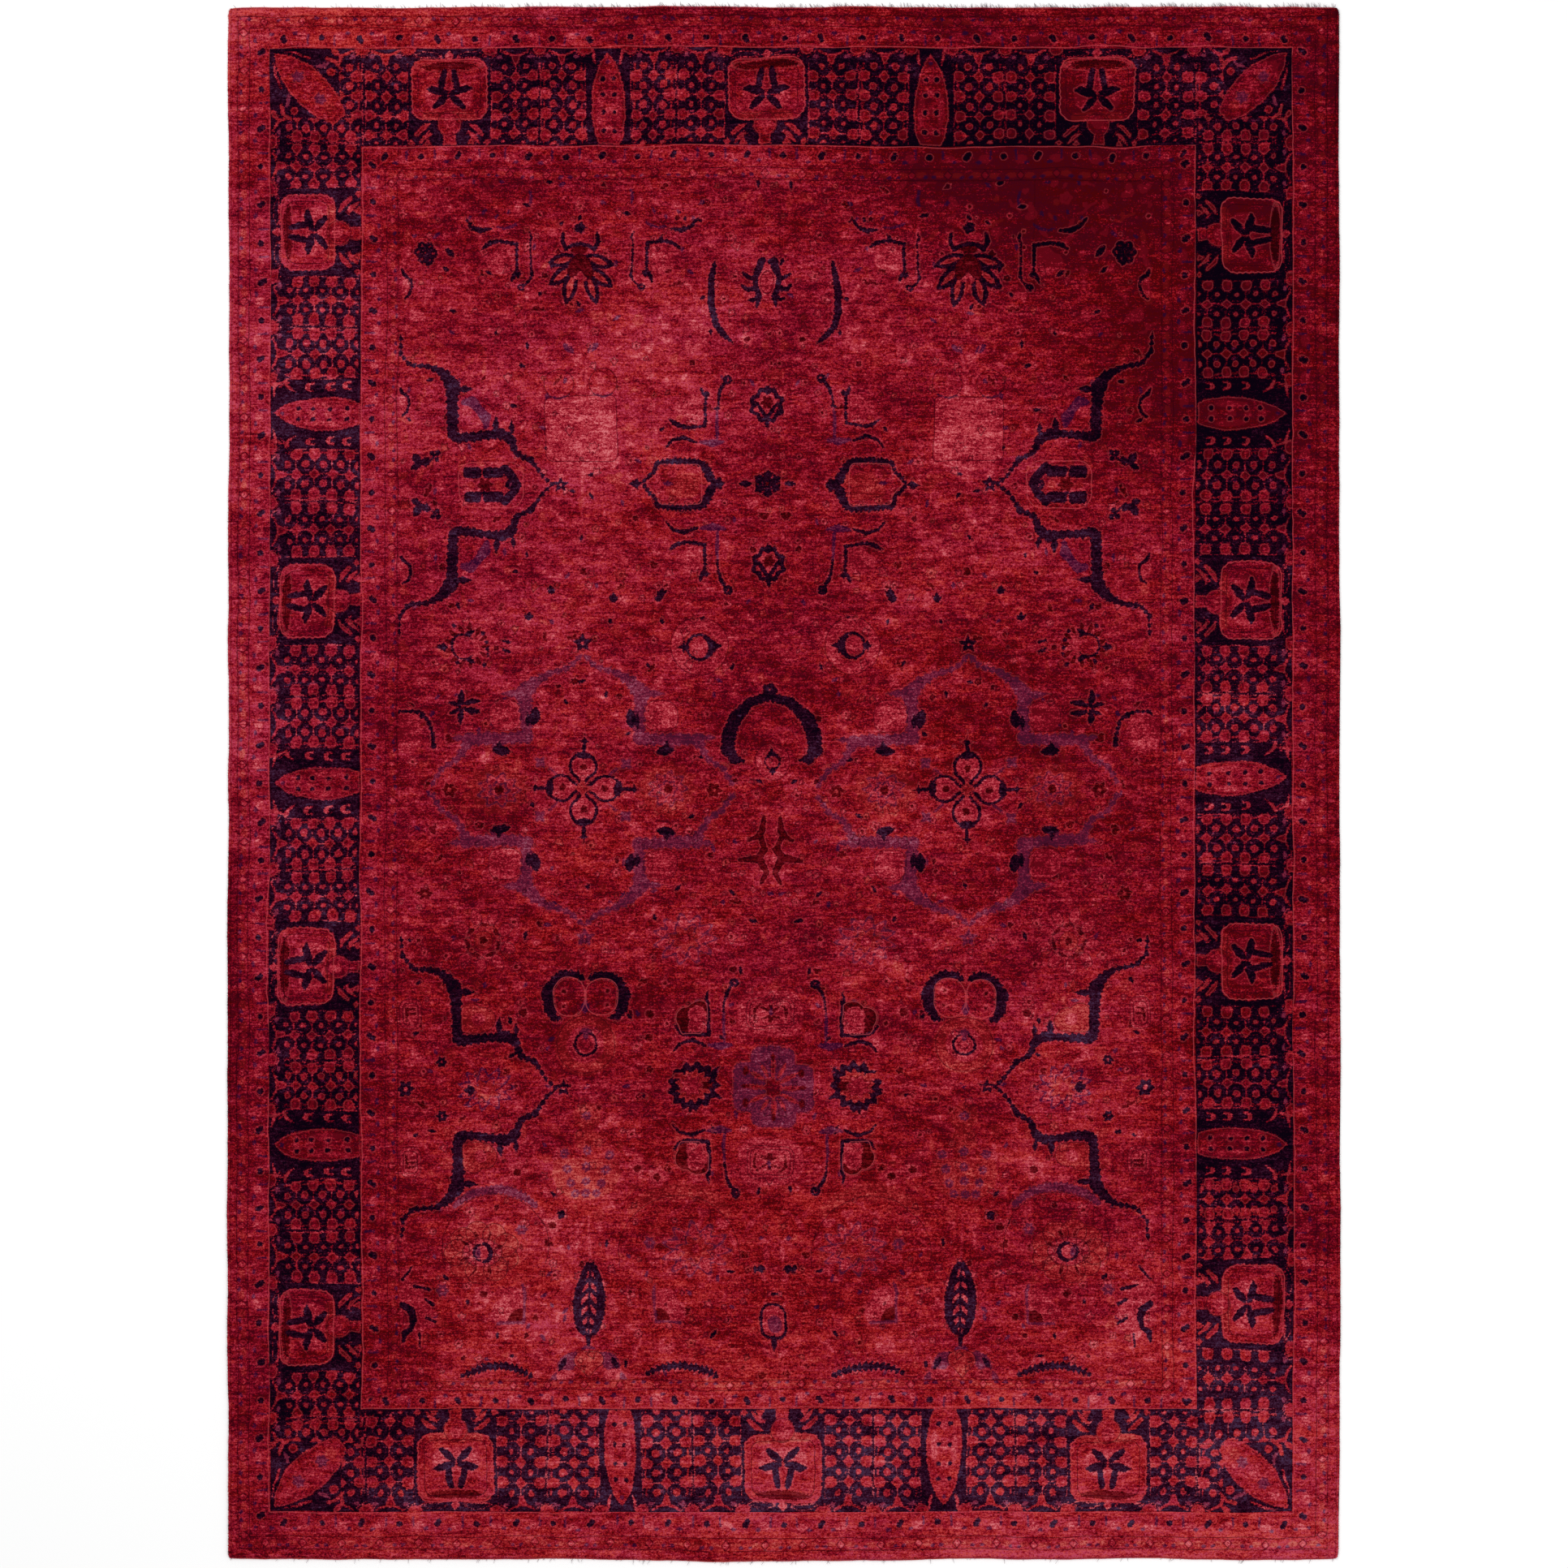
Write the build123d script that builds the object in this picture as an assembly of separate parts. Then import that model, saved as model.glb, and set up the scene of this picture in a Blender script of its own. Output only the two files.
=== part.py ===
"""Hand-knotted area rug, 3.05 m wide and 4.27 m long, lying flat.

X runs across the warps and Y along them, Z is up. The origin is on the floor under
the middle of the rug. A woven ground cloth carries the pile, which is knotted in a
field and four nested bands. Cords bind the long sides, and both ends are turned
under and sewn down.
"""
import os

from build123d import *

# Driving sizes, in millimetres.
RUG_WIDTH = 3050.0
RUG_LENGTH = 4270.0
CLOTH_THICKNESS = 3.0
PILE_HEIGHT = 6.0

# Bound long sides.
SELVEDGE_WIDTH = 8.0
SELVEDGE_HEIGHT = 8.0
SELVEDGE_ROUNDING = 3.4
CORE_DIAMETER = 4.4

# Turned-under ends.
FOLD_THICKNESS = 3.0
FOLD_HEIGHT = 5.0
HEM_DEPTH = 30.0
HEM_THICKNESS = 1.5
LOCK_ROW_WIDTH = 2.0
LOCK_ROW_HEIGHT = 2.0
STITCH_LENGTH = 4.0
STITCH_WIDTH = 2.0
STITCH_PITCH = 24.0

# Widths of the pile bands from the outside in, as (left, right, near, far).
# It is hand work, so opposite sides differ a little.
BAND_WIDTHS = {
    "edge_stripe": (15.0, 21.0, 23.0, 19.0),
    "outer_guard": (88.0, 97.0, 105.0, 90.0),
    "main_border": (248.0, 266.0, 281.0, 266.0),
    "inner_guard": (105.0, 96.0, 80.0, 96.0),
}
FIELD_STRIPS = 6

# Levels and edges worked out from the sizes above.
PILE_TOP = CLOTH_THICKNESS + PILE_HEIGHT
CLOTH_X = RUG_WIDTH / 2 - SELVEDGE_WIDTH
CLOTH_Y = RUG_LENGTH / 2 - FOLD_THICKNESS
PILE_Y = CLOTH_Y - LOCK_ROW_WIDTH
SIDES = {"left": -1, "right": 1}
ENDS = {"near": -1, "far": 1}


def slab(x_span, y_span, z_span):
    """A box between three pairs of coordinates."""
    spans = [sorted(span) for span in (x_span, y_span, z_span)]
    sizes = [high - low for low, high in spans]
    middles = [(high + low) / 2 for low, high in spans]
    return Pos(*middles) * Box(*sizes)


def pile(x_span, y_span):
    """A block of knotted pile, standing on the ground cloth."""
    return slab(x_span, y_span, (CLOTH_THICKNESS, PILE_TOP))


def ground_cloth():
    """Warps and wefts, with a step under each end that takes the turned hem."""
    cloth = slab((-CLOTH_X, CLOTH_X), (-CLOTH_Y, CLOTH_Y), (0, CLOTH_THICKNESS))
    step_depth = HEM_DEPTH + STITCH_LENGTH
    for end in ENDS.values():
        step_y = (end * (CLOTH_Y - step_depth), end * CLOTH_Y)
        cloth -= slab((-CLOTH_X, CLOTH_X), step_y, (0, HEM_THICKNESS))
    return cloth


def turned_end(end):
    """The plain-woven end, which comes down over the last row and turns under."""
    fold_y = (end * CLOTH_Y, end * RUG_LENGTH / 2)
    hem_y = (end * (CLOTH_Y - HEM_DEPTH), end * CLOTH_Y)
    fold = slab((-CLOTH_X, CLOTH_X), fold_y, (0, FOLD_HEIGHT))
    hem = slab((-CLOTH_X, CLOTH_X), hem_y, (0, HEM_THICKNESS))
    return fold + hem


def lock_row(end):
    """The twined row that stops the last knots from sliding off the warps."""
    row_z = (CLOTH_THICKNESS, CLOTH_THICKNESS + LOCK_ROW_HEIGHT)
    return slab((-CLOTH_X, CLOTH_X), (end * PILE_Y, end * CLOTH_Y), row_z)


def hem_stitches(end):
    """Stitches that sew the turned hem to the ground cloth, as separate solids."""
    inner_y = CLOTH_Y - HEM_DEPTH - STITCH_LENGTH
    stitch_y = (end * inner_y, end * (inner_y + STITCH_LENGTH))
    stitch = slab((-STITCH_WIDTH / 2, STITCH_WIDTH / 2), stitch_y, (0, HEM_THICKNESS))
    count = int((2 * CLOTH_X - STITCH_PITCH) // STITCH_PITCH)
    first_x = -STITCH_PITCH * (count - 1) / 2
    stitches = [Pos(first_x + i * STITCH_PITCH, 0, 0) * stitch for i in range(count)]
    return Compound(children=stitches)


def selvedge_core(side):
    """The bundle of warps at the very edge."""
    centre_x = side * (RUG_WIDTH / 2 - SELVEDGE_WIDTH / 2)
    upright = Cylinder(CORE_DIAMETER / 2, RUG_LENGTH)
    return Pos(centre_x, 0, SELVEDGE_HEIGHT / 2) * Rot(90, 0, 0) * upright


def selvedge_wrap(side):
    """The yarn wound round the core: flat against the rug, rounded outside."""
    centre_x = side * (RUG_WIDTH / 2 - SELVEDGE_WIDTH / 2)
    outline = Rectangle(SELVEDGE_WIDTH, SELVEDGE_HEIGHT)
    by_x = outline.vertices().sort_by(Axis.X)
    outer_corners = by_x[-2:] if side > 0 else by_x[:2]
    section = fillet(outer_corners, SELVEDGE_ROUNDING) - Circle(CORE_DIAMETER / 2)
    placed = Plane((centre_x, 0, SELVEDGE_HEIGHT / 2), x_dir=(1, 0, 0), z_dir=(0, -1, 0)) * section
    return extrude(placed, RUG_LENGTH / 2, both=True)


def band(name, outer, widths):
    """Four blocks of pile round a rectangle, and the rectangle left inside them."""
    left, right, near, far = outer
    inner = (left + widths[0], right - widths[1], near + widths[2], far - widths[3])
    blocks = {
        f"{name}_left": pile((left, inner[0]), (near, far)),
        f"{name}_right": pile((inner[1], right), (near, far)),
        f"{name}_near": pile((inner[0], inner[1]), (near, inner[2])),
        f"{name}_far": pile((inner[0], inner[1]), (inner[3], far)),
    }
    return blocks, inner


def field(bounds):
    """The middle of the rug, as equal strips of knots side by side."""
    left, right, near, far = bounds
    width = (right - left) / FIELD_STRIPS
    strips = {}
    for i in range(FIELD_STRIPS):
        strip_x = (left + i * width, left + (i + 1) * width)
        strips[f"field_pile_{i + 1}"] = pile(strip_x, (near, far))
    return strips


def rug():
    """Every separate piece of the rug, by name."""
    pieces = {"ground_cloth": ground_cloth()}
    for name, side in SIDES.items():
        pieces[f"selvedge_core_{name}"] = selvedge_core(side)
        pieces[f"selvedge_wrap_{name}"] = selvedge_wrap(side)
    for name, end in ENDS.items():
        pieces[f"turned_end_{name}"] = turned_end(end)
        pieces[f"lock_row_{name}"] = lock_row(end)
        pieces[f"hem_stitches_{name}"] = hem_stitches(end)
    bounds = (-CLOTH_X, CLOTH_X, -PILE_Y, PILE_Y)
    for name, widths in BAND_WIDTHS.items():
        blocks, bounds = band(name, bounds, widths)
        pieces.update(blocks)
    pieces.update(field(bounds))
    return pieces


os.makedirs("parts", exist_ok=True)
for node, piece in rug().items():
    export_step(piece, f"parts/{node}.step")
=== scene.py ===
"""Area rug: hand-knotted, overdyed wool pile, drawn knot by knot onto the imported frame.

The design is drawn as a weaver's cartoon. Each shape of the design gives the signed
distance, in millimetres, from any point of the pile to its edge. Every piece of pile
keeps, at each point of its mesh, the distance to the nearest shape of each colour of
wool, and one material turns those distances into dyed wool.
"""
import math

import bmesh
import bpy
import numpy as np
from mathutils import Matrix, Vector


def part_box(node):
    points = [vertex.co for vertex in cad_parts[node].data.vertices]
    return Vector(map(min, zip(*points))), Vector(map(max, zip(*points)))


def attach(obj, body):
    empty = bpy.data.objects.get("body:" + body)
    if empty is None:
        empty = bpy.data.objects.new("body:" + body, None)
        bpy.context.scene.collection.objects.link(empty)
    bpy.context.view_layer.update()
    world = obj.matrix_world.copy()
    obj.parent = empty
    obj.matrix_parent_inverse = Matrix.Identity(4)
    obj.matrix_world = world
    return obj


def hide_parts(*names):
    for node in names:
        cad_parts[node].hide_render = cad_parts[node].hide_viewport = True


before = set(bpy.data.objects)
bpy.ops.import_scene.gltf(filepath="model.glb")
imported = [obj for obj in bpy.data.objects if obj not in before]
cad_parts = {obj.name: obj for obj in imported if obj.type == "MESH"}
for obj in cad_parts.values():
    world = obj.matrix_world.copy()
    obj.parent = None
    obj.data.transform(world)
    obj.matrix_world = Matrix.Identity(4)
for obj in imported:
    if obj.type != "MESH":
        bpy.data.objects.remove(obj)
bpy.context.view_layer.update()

MM = 0.001
SIDES = ("left", "right", "near", "far")
WOOLS = ("navy", "mauve", "blue", "dark", "ochre", "pink")
LINES = ("outline", "bright")
# Distances in the design count no further than this, in millimetres.
FAR = 60.0


# ---------------------------------------------------------------- the rug's own places

def span(*nodes):
    """Lowest x, highest x, lowest y and highest y of some nodes together, in millimetres."""
    corners = [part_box(node) for node in nodes]
    low = np.min([c[0] for c in corners], axis=0) / MM
    high = np.max([c[1] for c in corners], axis=0) / MM
    return low[0], high[0], low[1], high[1]


def ring(band):
    """The outside of a band of the design."""
    return span(*(f"{band}_{side}" for side in SIDES))


def within(x, y, bounds):
    """Which points lie inside a rectangle."""
    left, right, near, far = bounds
    return (x > left) & (x < right) & (y > near) & (y < far)


STRIPS = [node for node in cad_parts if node.startswith("field_pile_")]
FIELD = span(*STRIPS)
INNER_GUARD = ring("inner_guard")
MAIN_BORDER = ring("main_border")
OUTER_GUARD = ring("outer_guard")
PILE_LOW, PILE_TOP = (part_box("field_pile_1")[i].z / MM for i in (0, 1))
# The long axis that the field is mirrored in lies a little left of the rug's middle.
AXIS = -24.0


# ---------------------------------------------------------------- smooth hand-made wander

def wander(x, y, size, seed):
    """Smooth noise of a few crossing waves, about -1 to 1, with features of one size."""
    rng = np.random.default_rng(seed)
    total = np.zeros(np.shape(x))
    for angle in rng.uniform(0, 2 * math.pi, 7):
        wave = size * rng.uniform(0.7, 1.6)
        phase = rng.uniform(0, 2 * math.pi)
        total = total + np.sin((x * math.cos(angle) + y * math.sin(angle)) * 2 * math.pi / wave + phase)
    return total / 3.2


def sway(x, y):
    """Where a point of the true rectangle really lies, since hand work is never square."""
    dx = 2.4 * wander(x, y, 1500, 1) + 1.3 * wander(x, y, 420, 2) + 0.7 * wander(x, y, 120, 5)
    dy = 2.4 * wander(x, y, 1500, 3) + 1.5 * wander(x, y, 420, 4) + 0.9 * wander(x, y, 120, 6)
    # The bound sides spread a little, and the near end sags and rises where it was knotted.
    dx = dx + np.sign(x) * 4.0 * np.clip((np.abs(x) - 1480) / 40, 0, 1)
    near = np.clip((-y - 1900) / 220, 0, 1)
    dy = dy + near * (4.0 * np.exp(-((x - 1010) / 170) ** 2) - 6.0 * np.exp(-((x + 120) / 290) ** 2))
    # The four corners are rounded.
    corner = np.exp(-np.hypot(np.abs(x) - 1525, np.abs(y) - 2135) / 9)
    return x + dx - np.sign(x) * 5 * corner, y + dy - np.sign(y) * 5 * corner


# ---------------------------------------------------------------- shapes as distances

def disc(radius):
    return lambda x, y: np.hypot(x, y) - radius


def oval(rx, ry):
    return lambda x, y: (np.hypot(x / rx, y / ry) - 1) * min(rx, ry)


def block(width, height, rounding=0.0):
    """A rectangle about the origin, with rounded corners if asked."""
    def shape(x, y):
        qx = np.abs(x) - width / 2 + rounding
        qy = np.abs(y) - height / 2 + rounding
        outside = np.hypot(np.maximum(qx, 0), np.maximum(qy, 0))
        return outside + np.minimum(np.maximum(qx, qy), 0) - rounding
    return shape


def kite(half_width, half_height):
    """A diamond that stands on its point."""
    slope = math.hypot(half_width, half_height)

    def shape(x, y):
        return (np.abs(x) * half_height + np.abs(y) * half_width - half_width * half_height) / slope
    return shape


def polygon(*corners):
    """A closed outline of straight sides."""
    def shape(x, y):
        nearest = np.full(x.shape, 1e9)
        inside = np.zeros(x.shape, bool)
        for (ax, ay), (bx, by) in zip(corners, corners[1:] + corners[:1]):
            ex, ey = bx - ax, by - ay
            along = np.clip(((x - ax) * ex + (y - ay) * ey) / (ex * ex + ey * ey), 0, 1)
            nearest = np.minimum(nearest, np.hypot(x - ax - ex * along, y - ay - ey * along))
            crosses = (ay > y) != (by > y)
            if ey:
                inside ^= crosses & (x < ex * (y - ay) / ey + ax)
        return np.where(inside, -nearest, nearest)
    return shape


def stroke(*points, teeth=0.0, pitch=13.0):
    """A line through (x, y, width) points, as a brush draws it, with teeth if asked."""
    def shape(x, y):
        nearest = np.full(x.shape, 1e9)
        run = 0.0
        for (ax, ay, aw), (bx, by, bw) in zip(points, points[1:]):
            ex, ey = bx - ax, by - ay
            length = math.hypot(ex, ey)
            along = np.clip(((x - ax) * ex + (y - ay) * ey) / length ** 2, 0, 1)
            radius = (aw + (bw - aw) * along) / 2
            if teeth:
                radius = radius + teeth * (((run + along * length) / pitch) % 1 - 0.5)
            nearest = np.minimum(nearest, np.hypot(x - ax - ex * along, y - ay - ey * along) - radius)
            run += length
        return nearest
    return shape


def bend(radius, start, end, width, teeth=0.0, pitch=13.0, taper=0.5):
    """An arc of a circle from one angle to another, in degrees, thinner at its ends."""
    middle, half = math.radians((start + end) / 2), math.radians(abs(end - start) / 2)

    def shape(x, y):
        angle = np.arctan2(y, x) - middle
        angle = (angle + math.pi) % (2 * math.pi) - math.pi
        held = np.clip(angle, -half, half)
        thick = width / 2 * (1 - taper * np.abs(held / half) ** 2)
        if teeth:
            thick = thick + teeth * ((held * radius / pitch) % 1 - 0.5)
        cx, cy = radius * np.cos(held + middle), radius * np.sin(held + middle)
        return np.hypot(x - cx, y - cy) - thick
    return shape


def leaf(length, width):
    """A leaf from the origin up the y axis, pointed at both ends."""
    sagitta = width / 2
    radius = (length * length / 4 + sagitta * sagitta) / (2 * sagitta)

    def shape(x, y):
        return np.hypot(np.abs(x) + radius - sagitta, y - length / 2) - radius
    return shape


def flower(petals, radius, depth=0.3, turn=0.0):
    """A round flower whose petals are notched by a share of its radius."""
    def shape(x, y):
        angle = np.arctan2(y, x) - math.radians(turn)
        edge = radius * (1 - depth * (0.5 - 0.5 * np.cos(petals * angle)))
        return (np.hypot(x, y) - edge) * 0.9
    return shape


def star(points, outer, inner, turn=90.0):
    """A star with straight sides, by its outer and inner radius."""
    corners = []
    for i in range(2 * points):
        angle = math.radians(turn + 180 * i / points)
        reach = inner if i % 2 else outer
        corners.append((reach * math.cos(angle), reach * math.sin(angle)))
    return polygon(*corners)


def moved(shape, x0, y0, turn=0.0):
    """The shape turned about its origin, in degrees, and then moved."""
    c, s = math.cos(math.radians(turn)), math.sin(math.radians(turn))
    return lambda x, y: shape(c * (x - x0) + s * (y - y0), c * (y - y0) - s * (x - x0))


def around(shape, count, first=0.0):
    """The shape, and its copies turned evenly about the origin."""
    return either(*(moved(shape, 0, 0, first + 360 * i / count) for i in range(count)))


def twin(shape):
    """The shape and its reflection in the y axis."""
    return lambda x, y: shape(np.abs(x), y)


def folded(shape):
    """The shape and its reflection in the x axis."""
    return lambda x, y: shape(x, np.abs(y))


def mirrored(shape):
    """Only the reflection in the y axis."""
    return lambda x, y: shape(-x, y)


def flattened(shape, by):
    """The shape pressed flatter along y."""
    return lambda x, y: shape(x, y * by)


def quad(shape):
    """The shape reflected in both axes."""
    return lambda x, y: shape(np.abs(x), np.abs(y))


def rim(shape, width):
    """A line of one width along the shape's edge."""
    return lambda x, y: np.abs(shape(x, y)) - width / 2


def grown(shape, by):
    """The shape made larger all round, or smaller for a negative measure."""
    return lambda x, y: shape(x, y) - by


def either(*shapes):
    return lambda x, y: np.minimum.reduce([shape(x, y) for shape in shapes])


def both(*shapes):
    """Where all the shapes overlap."""
    return lambda x, y: np.maximum.reduce([shape(x, y) for shape in shapes])


def less(shape, cut):
    """The shape with another cut out of it."""
    return lambda x, y: np.maximum(shape(x, y), -cut(x, y))


# ---------------------------------------------------------------- the cartoon

class Cartoon:
    """How far each point of one piece lies from the shapes of each wool and each line."""

    def __init__(self, x, y):
        self.x = x + 3.0 * wander(x, y, 260, 11) + 1.0 * wander(x, y, 60, 12)
        self.y = y + 3.0 * wander(x, y, 260, 13) + 1.0 * wander(x, y, 60, 14)
        self.layers = {name: np.full(len(x), FAR) for name in WOOLS + LINES}

    def paint(self, wool, distance, where=slice(None)):
        """Works a shape in one wool, over whatever was there. Red ground is no wool."""
        for name in WOOLS:
            layer = self.layers[name]
            if name == wool:
                layer[where] = np.minimum(layer[where], distance)
            else:
                layer[where] = np.maximum(layer[where], -distance)

    def trace(self, line, distance, where=slice(None)):
        """Adds a shape's edge to the thin lines of one kind. Crossing shapes keep both edges."""
        layer = self.layers[line]
        other = layer[where]
        layer[where] = np.maximum(np.minimum(other, distance), -np.maximum(other, distance))

    def work(self, motif, x, y, turn=0.0, flip=(1, 1)):
        """Works a motif with its origin at a place."""
        where = np.flatnonzero((np.abs(self.x - x) < motif.reach) & (np.abs(self.y - y) < motif.reach))
        if not len(where):
            return
        c, s = math.cos(math.radians(turn)), math.sin(math.radians(turn))
        dx, dy = self.x[where] - x, self.y[where] - y
        u = (c * dx + s * dy) * flip[0]
        v = (c * dy - s * dx) * flip[1]
        for name, shape in motif.parts:
            distance = shape(u, v)
            if name in LINES:
                self.trace(name, distance, where)
            else:
                self.paint(name, distance, where)

    def pair(self, motif, x, y, turn=0.0, flip=(1, 1)):
        """A motif on both sides of the rug's long axis."""
        self.work(motif, x, y, turn, flip)
        self.work(motif, 2 * AXIS - x, y, -turn, (-flip[0], flip[1]))

    def four(self, motif, x, y, level, turn=0.0):
        """A motif on both sides of the axis, and reflected again in a cross line."""
        self.pair(motif, x, y, turn)
        self.pair(motif, x, 2 * level - y, -turn, (1, -1))


class Motif:
    """One figure of the design: how far it reaches, and its (wool or line, shape) parts, in order.

    A part whose wool is None goes back to the red ground.
    """

    def __init__(self, reach, *parts):
        self.reach = reach
        self.parts = parts


# ---------------------------------------------------------------- main border figures
# Each figure stands on the border's inner edge, and y runs outward over its depth.

CORNER_BLOCK = 190.0
# Where the boxes and the lozenges stand along each side, and the half length that a lozenge takes.
BORDER_PLAN = {
    "far": {"box": (-922, -51, 862), "lozenge": (-482, 404), "cell": 58},
    "near": {"box": (-906, -2, 891), "lozenge": (-449, 440), "cell": 58},
    "left": {"box": (1513, 502, -502, -1495), "lozenge": (1016, 0, -993), "cell": 94},
    "right": {"box": (1507, 502, -491, -1433), "lozenge": (1016, 16, -993), "cell": 94},
}
SIDE_TURN = {"far": 0, "left": 90, "near": 180, "right": -90}
# The lattice has a little over five rows of bells across the border, with berries between.
ROWS_ACROSS = 5.08
BELL_ROW = 0.6
BERRY_ROW = 0.1
TILE_REACH = 300
# Beside a corner leaf stand half a tile of buds and a whole tile of rings: their half lengths,
# as shares of the gap. Elsewhere two whole tiles share it equally.
CORNER_BUDS = 0.344
CORNER_RINGS = 0.328


def rows(shape, share, half_length, depth):
    """A shape on both sides of a tile, in rows across the border from the inner edge."""
    pitch = depth / ROWS_ACROSS
    first = pitch * share

    def repeated(x, y):
        across = (y - first + pitch / 2) % pitch - pitch / 2
        inside = np.maximum(np.abs(x) - half_length + 1.5, np.maximum(4 - y, y - depth + 40))
        return np.maximum(shape(np.abs(x), across), inside)
    return repeated


def vine(half, depth):
    """The scalloped vine that runs along the lattice's outer side."""
    tulip = either(polygon((-17, depth - 14), (17, depth - 14), (6, depth - 46), (-6, depth - 46)),
                   twin(stroke((8, depth - 18, 9), (26, depth - 12, 9), (38, depth - 4, 7))))
    bumps = twin(moved(oval(22, 17), half, depth - 3))
    berries = twin(moved(disc(9), 29, depth - 50))
    return [(None, tulip), (None, bumps), (None, berries),
            ("blue", twin(moved(oval(11, 7), half - 26, depth - 22))),
            ("pink", twin(stroke((half - 30, depth - 4, 5), (half - 24, depth - 14, 4),
                                 (half, depth - 26, 4))))]


def bell(half):
    """A bell that hangs from the tile's side, its mouth towards the middle."""
    return polygon((half - 35, -10), (half - 35, 10), (half - 22, 17), (half - 8, 16), (half - 2, 9),
                   (half - 2, -9), (half - 8, -16), (half - 22, -17))


def lattice_tile(half, depth, berries, bar, marks):
    """Rows of bells back to back with a diamond between them, and rows of berries between those."""
    def in_rows(parts, share):
        return [(wool, rows(shape, share, half, depth)) for wool, shape in parts]

    stems = [("pink", bar), ("pink", block(5, 60)), ("pink", moved(block(5, 60), half - 3, 0)),
             (None, kite(15, 17)), ("pink", moved(disc(4), half - 14, 3))]
    return Motif(
        TILE_REACH, *in_rows([(None, kite(18, 20)), (None, bell(half))], BELL_ROW),
        *in_rows(berries, BERRY_ROW), *in_rows(stems, BELL_ROW), *in_rows(marks, BERRY_ROW),
        *vine(half, depth))


def bud_tile(half, depth):
    """The lattice with small round buds, each with a blue leaf."""
    berries = [(None, moved(disc(12), 28, 0)), (None, moved(block(7, 20), half - 14, 0))]
    marks = [("pink", moved(disc(4), 27, 2)), ("blue", moved(oval(4, 8), 13, -4))]
    return lattice_tile(half, depth, berries, moved(block(34, 5), half * 0.42, 0), marks)


def ring_tile(half, depth):
    """The lattice with navy rings that have red hearts."""
    rings = [(None, moved(disc(20), 27, 0)), ("navy", moved(disc(18), 27, 0)),
             (None, moved(oval(8, 9.5), 27, 0))]
    return lattice_tile(half, depth, rings, block(70, 5), [("pink", moved(disc(3.5), 27, 3))])


def palmette_box(depth):
    """A square palmette with rounded corners on a narrow neck, with a star of six leaves."""
    middle = depth / 2 + 22
    eye = middle - 8
    whole = moved(block(214, depth - 92, 40), 0, middle)

    def body(x, y):
        saw = (np.abs((y / 17) % 1 - 0.5) - 0.25) * 7
        return whole(x, y) + saw * (np.abs(x) > 80)

    neck = either(moved(disc(35), 0, 60), polygon((-16, 40), (16, 40), (20, 0), (-20, 0)))
    upper = twin(stroke((13, eye + 58, 13), (17, eye + 40, 17), (22, eye + 14, 15)))
    side = twin(stroke((6, eye - 2, 10), (26, eye + 2, 20), (46, eye + 8, 18), (60, eye + 8, 6)))
    lower = twin(stroke((8, eye - 14, 11), (22, eye - 26, 20), (40, eye - 42, 11)))
    side_leaf = either(stroke((56, 58, 8), (72, 50, 17), (92, 30, 14)),
                       stroke((52, 34, 8), (68, 26, 15), (84, 6, 7)))
    foot_scroll = stroke((44, 26, 4), (56, 42, 4), (68, 30, 4), (58, 18, 4))
    collar = (stroke((22, depth - 16, 5), (44, depth - 8, 4), (74, depth - 8, 4), (100, depth - 22, 5)),
              stroke((24, depth - 20, 5), (92, depth - 24, 5)))
    return Motif(
        320, (None, body), (None, neck), ("pink", moved(block(130, 70, 30), 0, eye - 10)),
        ("ochre", moved(block(150, 26, 12), 0, 80)), ("dark", moved(oval(70, 11), 0, depth - 46)),
        ("bright", grown(body, -4)), ("outline", moved(block(172, depth - 130, 26), 0, middle)),
        (None, moved(disc(30), 0, 60)), ("pink", moved(disc(17), 0, 66)),
        ("outline", moved(disc(33), 0, 60)), ("navy", either(upper, side, lower)),
        (None, moved(kite(13, 17), 0, eye + 28)), (None, moved(kite(5, 12), 0, eye)),
        (None, twin(side_leaf)), (None, twin(polygon((46, 0), (76, 0), (61, 26)))),
        (None, twin(moved(kite(12, 12), 106, 8))), ("pink", twin(either(foot_scroll, *collar))),
        ("navy", twin(stroke((34, depth - 18, 6), (58, depth - 14, 11), (84, depth - 18, 6)))),
        ("pink", moved(kite(15, 16), 0, depth - 16)), (None, twin(moved(oval(13, 9), 110, depth - 11))))


def lozenge(depth, broad):
    """A long leaf that fills the border's depth, between small flowers."""
    def swelling(x, y):
        share = y / depth
        half = np.interp(share, (0, 0.1, 0.3, 0.5, 0.7, 0.85, 0.96), (30, 40, 48, 47, 37, 22, 0))
        half = half + 2.0 * ((y / 11) % 1 - 0.5)
        return np.maximum((np.abs(x) - half) * 0.93, np.maximum(-y, y - depth * 0.97))

    parts = [(None, swelling)]
    for share in (0.16, 0.36, 0.54, 0.7):
        parts.append(("pink", moved(flower(5, 13, 0.3), 0, depth * share)))
        parts.append(("navy", twin(moved(disc(5.5), 15, depth * share - 4))))
    parts.append(("pink", twin(moved(oval(8, 40), 26, depth * 0.36))))
    parts.append(("blue", moved(disc(5), 0, depth * 0.86)))
    if not broad:
        parts.append(("pink", twin(stroke((32, depth - 44, 7), (37, depth - 26, 11), (36, depth - 6, 7)))))
        return Motif(300, *parts)
    for level in (38, 84, 140):
        cap = polygon((62, level - 14), (70, level - 14), (70, level - 2), (80, level - 2),
                      (80, level - 14), (89, level - 14), (87, level + 6), (80, level + 14),
                      (69, level + 13), (64, level + 4))
        parts.append(("pink", twin(cap)))
    parts.append(("pink", twin(stroke((90, depth * 0.83, 12), (74, depth * 0.8, 12),
                                      (60, depth * 0.72, 5)))))
    parts.append(("pink", twin(stroke((46, depth - 8, 6), (78, depth - 14, 12), (86, depth - 36, 7)))))
    parts.append((None, twin(stroke((70, depth - 26, 6), (88, depth - 52, 5)))))
    return Motif(300, *parts)


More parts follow.
